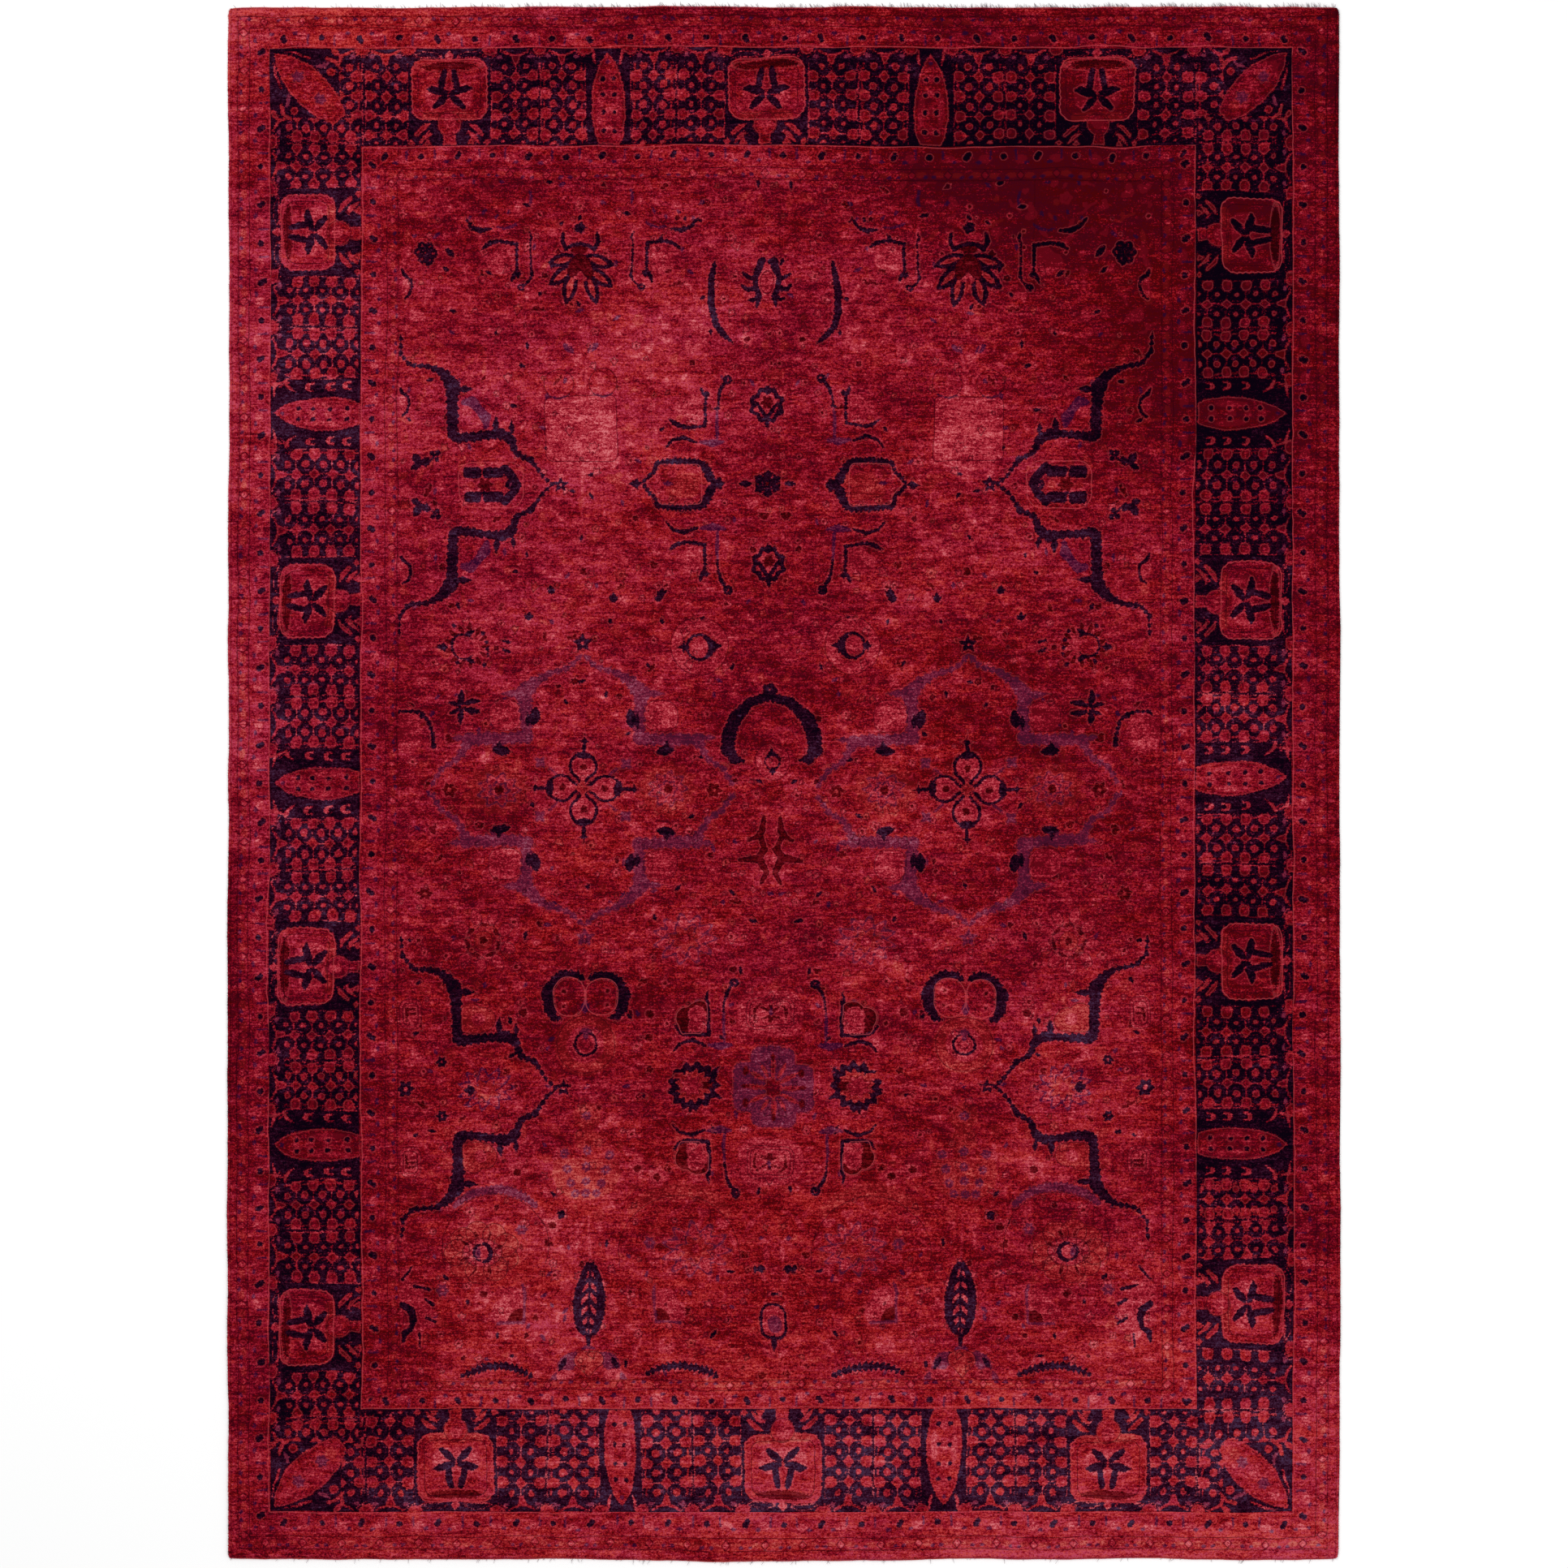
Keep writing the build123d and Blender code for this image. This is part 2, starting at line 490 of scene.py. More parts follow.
def corner_leaf():
    """A broad leaf across the corner, its tip at the outer corner, between two flowers."""
    def body(x, y):
        half = np.interp(y, (12, 50, 110, 170, 225, 272), (0, 27, 49, 52, 42, 22))
        half = half + 2.0 * ((y / 12) % 1 - 0.5)
        return np.maximum((np.abs(x) - half) * 0.93, np.maximum(12 - y, y - 272))

    parts = [(None, body)]
    for level, wool in ((70, "pink"), (112, "mauve"), (150, "pink"), (196, "mauve"), (228, "ochre")):
        parts.append((wool, moved(flower(6, 17, 0.35), 0, level)))
        parts.append(("pink", twin(moved(disc(6), 24, level + 10))))
    side_flower = either(moved(disc(13), 76, 166), stroke((92, 130, 12), (104, 152, 13), (100, 176, 11)),
                         stroke((46, 72, 9), (60, 100, 8)), moved(oval(9, 16), 122, 134))
    parts.append((None, twin(side_flower)))
    parts.append(("pink", twin(stroke((22, 32, 4), (44, 64, 9), (52, 84, 4)))))
    parts.append(("blue", twin(stroke((58, 130, 12), (74, 140, 14), (86, 142, 8)))))
    return Motif(330, *parts)


def side_place(side, along):
    """The point of the main border's inner edge at a distance along one side."""
    left, right, near, far = INNER_GUARD
    places = {"far": (along, far), "near": (along, near), "left": (left, along), "right": (right, along)}
    return places[side]


def trimmed(motif, sign):
    """Only the half of a figure on one side of its own axis."""
    def half_plane(x, _):
        return -sign * x
    return Motif(motif.reach, *((wool, both(shape, half_plane)) for wool, shape in motif.parts))


def side_motifs(side, depth):
    """Boxes, lozenges and the lattice between them along one side of the main border."""
    plan = BORDER_PLAN[side]
    across = side in ("far", "near")
    ends = MAIN_BORDER[:2] if across else MAIN_BORDER[2:]
    sign = 1 if side in ("far", "left") else -1
    stops = [(place, 112 if across else 120, "box") for place in plan["box"]]
    stops += [(place, plan["cell"], "lozenge") for place in plan["lozenge"]]
    stops += [(ends[0] + CORNER_BLOCK, 0, "corner"), (ends[1] - CORNER_BLOCK, 0, "corner")]
    stops.sort()
    for (a, a_half, a_kind), (b, b_half, b_kind) in zip(stops, stops[1:]):
        start, end = a + a_half, b - b_half
        gap = end - start
        if a_kind == "corner":
            yield trimmed(bud_tile(gap * CORNER_BUDS, depth), sign), start
            yield ring_tile(gap * CORNER_RINGS, depth), end - gap * CORNER_RINGS
        elif b_kind == "corner":
            yield trimmed(bud_tile(gap * CORNER_BUDS, depth), -sign), end
            yield ring_tile(gap * CORNER_RINGS, depth), start + gap * CORNER_RINGS
        else:
            first, second = (ring_tile, bud_tile) if a_kind == "box" else (bud_tile, ring_tile)
            yield first(gap / 4, depth), start + gap / 4
            yield second(gap / 4, depth), end - gap / 4
    for place, _, kind in stops:
        if kind == "box":
            yield palmette_box(depth), place
        if kind == "lozenge":
            yield lozenge(depth, plan["cell"] > 60), place


def draw_main_border(cartoon):
    left, right, near, far = MAIN_BORDER
    inner = INNER_GUARD
    depths = {side: abs(o - i) for side, o, i in zip(SIDES, MAIN_BORDER, INNER_GUARD)}
    cartoon.paint("navy", np.full(len(cartoon.x), -FAR))
    for side in ("far", "near", "left", "right"):
        if side == "left":
            # The long sides own the corner squares below the corner leaves.
            for x, width in (((left + inner[0]) / 2, depths["left"]),
                             ((right + inner[1]) / 2, depths["right"])):
                for y, height in (((inner[3] + far - CORNER_BLOCK) / 2, depths["far"] - CORNER_BLOCK),
                                  ((inner[2] + near + CORNER_BLOCK) / 2, depths["near"] - CORNER_BLOCK)):
                    cartoon.work(Motif(300, ("navy", block(width, height))), x, y)
        for motif, along in side_motifs(side, depths[side]):
            x, y = side_place(side, along)
            cartoon.work(motif, x, y, SIDE_TURN[side])
    block_ground = Motif(CORNER_BLOCK + 90, ("navy", block(2 * CORNER_BLOCK, 2 * CORNER_BLOCK)))
    for x, y, turn in ((left, far, -135), (right, far, 135), (left, near, -45), (right, near, 45)):
        cartoon.work(block_ground, x, y)
        cartoon.work(corner_leaf(), x, y, turn)


# ---------------------------------------------------------------- guards

# The share of a guard's width that the navy dots take. The small flowers have the rest.
DOTS_SHARE = 0.66


def band_place(cartoon, inner, outer):
    """Place along a band, and share of the way across it, mitred at the corners."""
    gaps = [abs(o - i) for i, o in zip(inner, outer)]
    shares = np.stack([
        (inner[0] - cartoon.x) / gaps[0], (cartoon.x - inner[1]) / gaps[1],
        (inner[2] - cartoon.y) / gaps[2], (cartoon.y - inner[3]) / gaps[3]])
    side = shares.argmax(0)
    along = np.where(side < 2, cartoon.y, cartoon.x)
    return along, shares.max(0), np.array(gaps)[side]


def draw_guard(cartoon, inner, outer, pitch, flowers_outside):
    """A guard of navy dots, and beside it a stripe of small flowers, with thin lines."""
    along, share, gap = band_place(cartoon, inner, outer)
    if not flowers_outside:
        share = 1 - share
    inside = np.flatnonzero((share > -0.1) & (share < 1.1))
    along, across, gap = along[inside], (share * gap)[inside], gap[inside]
    width = DOTS_SHARE * gap
    u = ((along / pitch + 0.5) % 1 - 0.5) * pitch
    even = np.floor(along / pitch + 0.5) % 2 == 0
    v = across - width / 2
    half_u = ((along / pitch) % 1 - 0.5) * pitch
    cartoon.paint("pink", moved(oval(17, 11), 0, 4)(half_u, v), inside)
    knot = either(moved(disc(7), -2, 3), moved(disc(6.5), 3, -5))
    cartoon.paint("navy", np.where(even, block(15, 14, 7)(u, v + 2), knot(u, v + 2)), inside)
    marks = np.where(even, twin(moved(block(4, 28, 2), 37, -8))(u, v),
                     twin(moved(oval(6, 4), 33, 13))(u, v))
    cartoon.paint("blue", marks, inside)
    # The stripe of small flowers.
    stripe = gap - width
    w = across - width - stripe / 2
    cartoon.paint("ochre", twin(moved(oval(13, 7), pitch / 4, 0))(u, w), inside)
    cartoon.paint("blue", twin(moved(oval(5, 3.5), 12, 6))(u, w), inside)
    cartoon.paint("pink", kite(8, 8)(half_u, w), inside)
    cartoon.trace("outline", kite(12, 13)(half_u, w), inside)
    cartoon.trace("outline", width - across, inside)
    cartoon.trace("outline", gap - 2 - across, inside)
    cartoon.trace("bright", 3 - across, inside)


def draw_outer_guard(cartoon):
    draw_guard(cartoon, MAIN_BORDER, OUTER_GUARD, 106, True)


def draw_inner_guard(cartoon):
    draw_guard(cartoon, FIELD, INNER_GUARD, 100, False)


# ---------------------------------------------------------------- field figures

def rosette(radius, wool="navy", heart="pink", petals=6):
    """A small round flower with a heart."""
    return Motif(radius * 1.6, (wool, flower(petals, radius, 0.35)), (heart, disc(radius * 0.32)))


def berry_ring(radius):
    """Six little rings round a seventh."""
    berry = rim(disc(radius * 0.26), radius * 0.2)
    return Motif(radius * 1.6, ("navy", around(moved(berry, radius * 0.66, 0), 6)),
                 ("navy", disc(radius * 0.3)), ("ochre", disc(radius * 0.12)))


def bud(length):
    """Three navy blades from one foot."""
    side = leaf(length * 0.8, length * 0.3)
    blades = either(leaf(length, length * 0.5), moved(side, 0, 0, 38), moved(side, 0, 0, -38))
    return Motif(length * 1.4, ("navy", blades))


def small_leaf(length, width, wool="blue"):
    """A leaf about its own middle."""
    return Motif(length * 1.2, (wool, moved(leaf(length, width), 0, -length / 2)))


def line_figure(wool, *points):
    """A thin drawn line as a figure of its own."""
    return Motif(400, (wool, stroke(*points)))


def half_medallion():
    """A stepped half-medallion that grows out of the field's side. Origin at its middle."""
    edge = stroke(
        (-16, 420, 5), (-13, 364, 6), (15, 332, 9), (71, 325, 12), (104, 308, 21), (132, 274, 38),
        (135, 241, 29), (138, 141, 28), (143, 129, 26), (182, 132, 22), (227, 137, 19),
        (266, 141, 28), (294, 129, 25), (307, 90, 13), (350, 68, 11), (378, 29, 7), (409, 0, 7),
        teeth=7, pitch=19)
    spurs = either(moved(kite(26, 10), 164, 262), moved(kite(9, 24), 252, 164),
                   moved(kite(7, 18), 296, 158), moved(kite(10, 16), 118, 300))
    curl = moved(rim(disc(7), 4.5), 347, 72)
    return Motif(470, ("navy", folded(either(edge, spurs))), ("navy", folded(curl)),
                 ("navy", moved(star(5, 24, 10), 432, 0)), ("pink", moved(disc(5), 432, 0)))


def step_scroll():
    """Blue scrolls in the steps of the upper half-medallions."""
    scroll = stroke((166, 226, 16), (186, 228, 27), (204, 208, 19), (222, 184, 29), (226, 160, 12))
    return Motif(420, ("blue", folded(scroll)))


def step_cloud():
    """Pale clouds in the steps of the lower half-medallions."""
    puff = either(moved(disc(28), 178, 204), moved(disc(33), 212, 186), moved(block(60, 50, 12), 180, 174))
    inner = moved(disc(18), 200, 186)
    return Motif(420, ("ochre", folded(puff)), ("outline", folded(puff)), ("pink", folded(inner)))


def block_palmette():
    """A navy palmette of rounded blocks round a red star."""
    blocks = either(moved(block(46, 30, 8), -54, 35), moved(block(56, 28, 9), 3, 35),
                    stroke((33, 48, 20), (52, 26, 22), (72, 0, 15)))
    return Motif(160, ("bright", moved(block(176, 128, 40), -4, 0)), ("navy", folded(blocks)),
                 ("navy", moved(disc(12), 48, 0)), ("blue", moved(disc(6), 48, 0)),
                 ("dark", moved(flower(6, 22, 0.4), -20, 0)), ("ochre", moved(kite(12, 12), -58, 0)),
                 ("ochre", moved(kite(14, 14), 16, 0)))


def bird():
    """A small dark bud with a crossed twig."""
    body = either(moved(leaf(36, 22), 0, 0, 20), moved(leaf(32, 15), 0, 0, -60),
                  moved(leaf(28, 15), 0, 0, 100))
    twig = either(stroke((14, -4, 5), (54, 26, 5)), moved(disc(7), 56, 26), moved(disc(6), 40, 28),
                  moved(disc(6), 50, 10))
    return Motif(100, ("navy", either(body, twig)))


def lotus():
    """A lotus of pointed petals, outlined in navy, under a small crown."""
    side = [moved(leaf(76, 27), -14, 22, 104), moved(leaf(82, 28), -20, -4, 130),
            moved(leaf(84, 28), -20, -20, 166)]
    petals = either(*side, *map(mirrored, side))
    heart = either(moved(leaf(76, 34), 0, 32, 156), moved(leaf(76, 34), 0, 32, -156))
    crown = moved(twin(stroke((0, 8, 9), (26, 2, 10), (40, -8, 10), (50, 14, 11), (47, 38, 6))), 0, 52)
    return Motif(
        180, ("ochre", petals), ("navy", rim(petals, 9)), ("pink", twin(moved(leaf(50, 20), 6, 4, -170))),
        ("dark", heart), ("outline", heart), ("navy", crown), ("dark", moved(oval(22, 10), 0, 44)),
        ("navy", moved(flower(5, 16, 0.25), 0, 104)))


def bracket_cloud():
    """A heart-shaped cloud in the angle of a toothed bracket."""
    cloud = either(moved(disc(25), -30, 66), moved(disc(25), -54, 48), moved(disc(22), -32, 34))
    bracket = stroke((-12, -10, 4), (-6, 8, 10), (2, 22, 6), (0, 96, 8), (-50, 102, 8), (-74, 96, 11),
                     (-92, 84, 5), teeth=3, pitch=14)
    return Motif(160, ("pink", cloud), ("navy", bracket), ("navy", moved(kite(9, 9), 6, 12)))


def long_vine():
    """A thin upright stem that ends in a curl."""
    return Motif(130, ("navy", stroke((2, 80, 3), (-3, 66, 6), (2, 54, 4), (0, -20, 4), (-3, -40, 8),
                                      (2, -54, 4), (14, -66, 5))),
                 ("navy", rim(moved(disc(7), 24, -72), 5)))


def swoosh():
    """A curved leaf with a blue tail."""
    return Motif(110, ("navy", stroke((-38, 24, 4), (-20, 0, 8), (6, -12, 14), (34, -10, 5), teeth=3)),
                 ("blue", stroke((50, -4, 4), (70, -8, 4), (92, -2, 7), (110, 8, 4))))


def antler_flower():
    """A round pink flower held in dark antlers."""
    antler = twin(either(
        stroke((16, 64, 20), (21, 44, 20), (32, 18, 14), (30, -8, 13), (20, -34, 15), (26, -62, 6)),
        stroke((30, 12, 12), (48, 18, 11), (64, 30, 6)), stroke((28, -12, 12), (52, -16, 11), (66, -6, 6)),
        stroke((20, -34, 10), (38, -44, 8), (48, -42, 5))))
    return Motif(150, ("pink", moved(oval(28, 42), 0, 4)), ("outline", moved(oval(18, 30), 0, 4)),
                 ("navy", antler))


def parenthesis():
    """A tall serrated bracket that closes round the middle."""
    return Motif(180, ("navy", stroke((6, 112, 6), (0, 84, 14), (-6, 30, 18), (-4, -24, 17), (6, -62, 16),
                                      (26, -88, 14), (46, -108, 5), teeth=3)))


def vase():
    """A square pale vase under two round bowls."""
    return Motif(
        270, ("pink", block(190, 170, 16)), ("pink", moved(oval(84, 28), 0, -84)),
        ("outline", block(194, 176, 16)), ("outline", twin(moved(disc(39), 60, 124))),
        ("blue", twin(moved(leaf(38, 17), 18, 208, -50))),
        ("pink", twin(stroke((10, 96, 6), (16, 190, 5), (40, 244, 4)))),
        ("blue", twin(stroke((34, 92, 3), (60, 84, 4), (86, 92, 3)))))


def eye_rosette():
    """A bud in a dark eight-sided ring."""
    petals = twin(stroke((2, -34, 10), (17, -10, 9), (30, 8, 5)))
    return Motif(100, ("pink", disc(30)), ("navy", rim(flower(8, 45, 0.2, 22), 10)),
                 ("dark", moved(flower(6, 17, 0.3), 0, 8)), ("navy", petals),
                 ("navy", moved(kite(7, 17), 0, -50)), ("navy", moved(kite(12, 12), 0, 44)))


def cartouche():
    """A wide cartouche with serrated edges, a point outward and a bud inward."""
    top = stroke((-102, 0, 7), (-84, 22, 9), (-67, 34, 9), (-61, 60, 13), (0, 66, 14), (56, 62, 17),
                 (72, 44, 22), (84, 16, 22), (96, 0, 10), teeth=8, pitch=12)
    inner = either(block(118, 112, 14), moved(kite(30, 30), -62, 0))
    return Motif(
        160, ("ochre", moved(block(90, 70, 20), 6, -4)), ("navy", folded(top)), ("bright", inner),
        ("pink", moved(flower(6, 15, 0.3), -22, 28)), ("blue", moved(kite(14, 6), -34, 2)),
        ("navy", either(moved(kite(18, 10), -120, 0), moved(kite(6, 16), -116, 0))),
        ("navy", moved(flower(5, 17, 0.3), 106, 0)))


def cross_rosette():
    """A rosette of six small flowers between two leaves."""
    return Motif(90, ("navy", around(moved(flower(5, 13, 0.3), 25, 0), 6, 30)), ("navy", disc(13)),
                 ("dark", flower(6, 8, 0.3)), ("navy", twin(moved(leaf(32, 14), 44, 0, -90))))


def star_bud(wool):
    """A small star with a pink heart."""
    return Motif(60, (wool, star(5, 27, 12)), ("pink", disc(6)))


def mauve_medallion():
    """The stepped dusty medallion. Origin at its middle, reflected in both axes."""
    edge = stroke(
        (0, 374, 9), (34, 338, 11), (92, 321, 14), (138, 294, 31), (161, 262, 42), (156, 235, 30),
        (154, 146, 29), (206, 140, 27), (264, 141, 31), (316, 138, 27), (326, 114, 19), (346, 82, 13),
        (385, 58, 11), (414, 10, 8), teeth=9, pitch=23)
    spurs = either(moved(kite(28, 10), 194, 264), moved(kite(8, 18), 246, 118),
                   moved(kite(16, 8), 344, 142))
    leaves = either(moved(leaf(52, 27), 134, 172, 6), moved(kite(8, 22), 150, 190),
                    moved(leaf(52, 24), 254, 112, 96), moved(kite(7, 14), 232, 124))
    patch = moved(block(92, 84, 36), 214, 204)
    flower_arm = either(moved(flower(4, 17, 0.5, 45), 117, 76), stroke((92, 60, 4), (70, 40, 4)))
    return Motif(480, ("pink", quad(patch)), ("outline", quad(patch)), ("mauve", quad(either(edge, spurs))),
                 ("navy", quad(leaves)), ("mauve", quad(flower_arm)))


def quatrefoil():
    """Four round petals in thin navy line, a bud at each tip."""
    petal = moved(either(disc(36), polygon((-25, -20), (25, -20), (0, -56))), 0, 62)
    petals = around(petal, 4)
    tip = around(either(moved(oval(22, 10), 0, 94), moved(kite(5, 30), 0, 116), moved(kite(12, 5), 0, 134)),
                 4)
    return Motif(200, ("pink", grown(petals, -3)), ("navy", rim(petals, 6)),
                 ("dark", around(moved(flower(5, 10, 0.3), 0, 58), 4)), ("ochre", flower(4, 22, 0.4)),
                 ("navy", tip))


def pomegranate(radius=34.0):
    """A ring with a thick side and a point, on a pale round."""
    return Motif(
        radius * 3.4, ("pink", disc(radius * 2.2)), ("outline", disc(radius * 2.3)),
        (None, disc(radius * 1.4)), ("pink", disc(radius * 0.7)),
        ("navy", rim(disc(radius), radius * 0.17)), ("navy", bend(radius * 0.92, -60, 60, radius * 0.46)),
        ("navy", moved(kite(radius * 0.5, radius * 0.22), radius * 1.3, 0)),
        ("navy", moved(kite(radius * 0.18, radius * 0.55), radius * 1.15, 0)),
        ("navy", moved(star(4, radius * 0.5, radius * 0.2), -radius * 1.25, 0)))


def seed_palmette():
    """A palmette of narrow petals with navy seeds and arrow leaves."""
    places = ((54, 37), (66, -8), (57, -54), (-26, 56), (-20, -44), (64, 12))
    seeds = either(*(moved(disc(5.5), x, y) for x, y in places))
    arrows = either(moved(leaf(30, 12), 4, 30, -60), moved(leaf(30, 12), 4, -30, -120),
                    stroke((112, 12, 6), (128, 8, 7)), stroke((112, -12, 6), (126, -18, 7)))
    return Motif(150, ("dark", moved(flower(13, 64, 0.4), 10, 0)),
                 ("pink", moved(flower(13, 56, 0.4, 14), 14, 0)), (None, disc(30)),
                 ("navy", bend(33, 40, 320, 5)), ("navy", either(seeds, arrows)),
                 ("navy", either(moved(oval(14, 7), -58, -3), moved(kite(6, 14), -54, -3))))


def fan_palmette(radius):
    """A broad ochre palmette of many narrow petals."""
    def fan(petals, share, depth):
        return flattened(flower(petals, radius * share, depth), 1.2)
    return Motif(
        radius * 1.5, ("ochre", fan(13, 1.0, 0.2)), ("pink", fan(9, 0.6, 0.3)),
        ("mauve", rim(fan(9, 0.62, 0.3), 4)), ("mauve", rim(fan(7, 0.3, 0.3), 4)),
        ("dark", disc(radius * 0.12)))


def ragged_palmette(radius):
    """A round pink flower with ragged leaves behind it."""
    leaves = around(moved(leaf(radius * 0.6, radius * 0.34), 0, radius * 0.5), 9, 16)
    return Motif(
        radius * 1.6, ("pink", leaves), ("outline", leaves), ("outline", flower(9, radius * 0.6, 0.32, 20)),
        ("dark", around(moved(oval(radius * 0.12, radius * 0.05), 0, radius * 0.5), 7)),
        ("ochre", disc(radius * 0.3)), ("outline", disc(radius * 0.3)),
        ("dark", flower(5, radius * 0.12, 0.4)))


def jagged_palmette(radius, line="mauve"):
    """A flat palmette of flame petals, each in a ragged dusty line."""
    def flame(petals, share, depth, turn=0.0):
        return flattened(flower(petals, radius * share, depth, turn), 1.25)

    outer = either(flame(11, 1.0, 0.34), twin(moved(leaf(radius * 0.8, radius * 0.3), 0, 0, -70)))
    return Motif(
        radius * 1.6, ("pink", outer), (line, rim(outer, 7)), ("ochre", flame(9, 0.55, 0.3)),
        (line, rim(flame(7, 0.6, 0.4, 15), 4)), (None, disc(radius * 0.2)), ("pink", disc(radius * 0.1)))


def star_flower():
    """Six navy leaves round a small heart."""
    blades = either(stroke((-4, 8, 8), (-6, 26, 17), (-4, 46, 7)),
                    stroke((-4, -8, 8), (-8, -26, 16), (-6, -42, 6)),
                    stroke((4, 8, 8), (24, 14, 15), (44, 16, 7)),
                    stroke((4, -6, 8), (24, -12, 15), (44, -12, 7)),
                    stroke((-8, 4, 6), (-24, 10, 12), (-38, 14, 4)),
                    stroke((-8, -4, 6), (-22, -12, 11), (-34, -18, 4)))
    return Motif(90, ("navy", blades), (None, disc(6)))


def half_dome():
    """A dome that grows out of the field's side, in a thin beaded line."""
    edge = stroke((-8, 44, 9), (-4, 52, 6), (30, 52, 7), (58, 44, 8), (78, 20, 7), (90, -20, 8),
                  (92, -48, 11), teeth=5, pitch=16)
    return Motif(150, ("pink", moved(oval(46, 56), 14, -10)), ("navy", edge),
                 ("navy", moved(disc(7), 58, 36)))


def crescent():
    """The heavy navy horseshoe round the middle, with a bud on top."""
    shoe = twin(stroke((0, 12, 22), (30, 8, 22), (56, 0, 25), (100, -43, 34), (120, -87, 38),
                       (122, -128, 33), (106, -154, 21), (83, -157, 8), teeth=6, pitch=15))
    return Motif(230, (None, moved(disc(88), 0, -60)), ("navy", shoe),
                 ("navy", moved(flower(5, 21, 0.25), 0, 32)), ("pink", moved(disc(4), 0, 34)))


def antlers():
    """Dark crimson antlers, in two facing pairs."""
    horn = twin(either(stroke((22, 100, 6), (26, 62, 16), (40, 44, 12), (60, 34, 6)),
                       stroke((30, 46, 10), (18, 12, 13), (30, -4, 8)),
                       stroke((12, 8, 10), (36, -18, 22), (86, -22, 7)),
                       stroke((30, -24, 20), (12, -58, 13), (28, -88, 6))))
    return Motif(170, ("dark", horn), ("outline", horn))


def heart_pair():
    """Two serrated crescents that meet in a heart, with four small flowers inside."""
    crescent_line = stroke((6, 52, 12), (30, 66, 18), (62, 62, 20), (88, 42, 30), (100, 8, 34),
                           (98, -26, 30), (86, -50, 18), (64, -56, 6), teeth=10, pitch=13)
    inside = twin(moved(block(84, 104, 40), 44, 4))
    return Motif(170, ("navy", twin(crescent_line)), (None, inside), ("bright", inside),
                 ("pink", quad(moved(flower(6, 14, 0.35), 58, 20))), ("dark", quad(moved(disc(4), 58, 20))),
                 ("blue", moved(kite(11, 22), 0, -24)), ("pink", stroke((0, 120, 6), (0, 40, 5))))


def ring_bud():
    """A small bud in a thin ring on an ochre ground."""
    return Motif(140, ("ochre", disc(84)), ("outline", disc(78)), ("pink", disc(50)),
                 ("navy", rim(disc(29), 5)), ("pink", disc(22)), ("mauve", moved(kite(16, 11), 0, 32)),
                 ("blue", moved(kite(8, 10), 0, 18)), ("outline", flower(6, 15, 0.3)))


def dark_cloud():
    """A pink quarter under a dark crimson cloud, in the angle of a thin bracket."""
    corner = moved(block(200, 200), -101, 101)
    lobes = both(either(moved(disc(34), -48, 24), moved(disc(34), -26, 58), moved(disc(30), -60, 46)),
                 corner)
    quarter = both(moved(either(disc(44), moved(disc(26), -16, 34)), -16, 20), corner)
    bracket = stroke((2, 116, 4), (-4, 96, 7), (0, 90, 9), (2, 60, 7), (0, 0, 9), (-60, -2, 9), (-80, 6, 8),
                     (-92, 24, 4))
    return Motif(180, ("dark", lobes), ("bright", lobes), ("pink", quarter), ("navy", bracket))


def side_stem():
    """A thin stem beside a bracket, with a curl above and a blue leaf below."""
    return Motif(170, ("navy", stroke((32, 94, 5), (14, 66, 9), (8, 44, 5), (4, 12, 4))),
                 ("blue", stroke((4, 12, 5), (2, -30, 8), (4, -66, 6))),
                 ("navy", rim(moved(disc(9), 34, 94), 6)),
                 ("blue", stroke((22, -76, 6), (-8, -80, 20), (-42, -76, 6))),
                 ("navy", stroke((-50, -78, 5), (-84, -64, 10), (-116, -72, 6), (-134, -92, 4))))


def drop_frame():
    """A thin rounded cartouche with a sprig in it, on a pale patch."""
    frame_line = either(block(128, 88, 24), moved(kite(12, 18), 0, 46))
    sprig = twin(either(stroke((2, -24, 4), (2, 20, 5)), stroke((2, 4, 5), (24, 16, 4)),
                        stroke((2, -8, 5), (22, -14, 4)), stroke((30, 26, 4), (44, 10, 5), (40, -20, 4))))
    return Motif(200, ("pink", block(176, 130, 50)), ("outline", frame_line),
                 ("outline", grown(frame_line, -9)), ("dark", sprig), ("blue", moved(kite(5, 12), 0, 4)))


def knot_rosette():
    """The dusty four-lobed rosette, cut with red petals."""
    lobes = either(block(124, 218, 26), block(224, 132, 24))
    slots = either(quad(moved(leaf(66, 17), 16, 14, -62)), around(moved(leaf(80, 18), 0, 12), 4),
                   quad(moved(leaf(56, 14), 10, 22, -30)))
    return Motif(170, ("mauve", lobes), (None, slots), (None, flower(8, 32, 0.2)),
                 ("dark", quad(moved(oval(10, 14), 80, 44))),
                 ("dark", around(moved(kite(9, 14), 0, 84), 4)))


def ring_palmette():
    """A round ochre palmette in a ragged navy rim, with a spiked crown outside."""
    crown = around(moved(leaf(34, 9), 0, 44), 5, -62)
    return Motif(120, ("ochre", disc(50)),
                 ("navy", less(rim(flower(13, 60, 0.2), 17), moved(block(30, 20), -40, 30))),
                 ("pink", moved(flower(7, 34, 0.4), -6, 0)), ("outline", moved(flower(7, 34, 0.4), -6, 0)),
                 ("dark", moved(star(6, 20, 8), 40, 0)), ("navy", moved(crown, 8, 0, -58)))


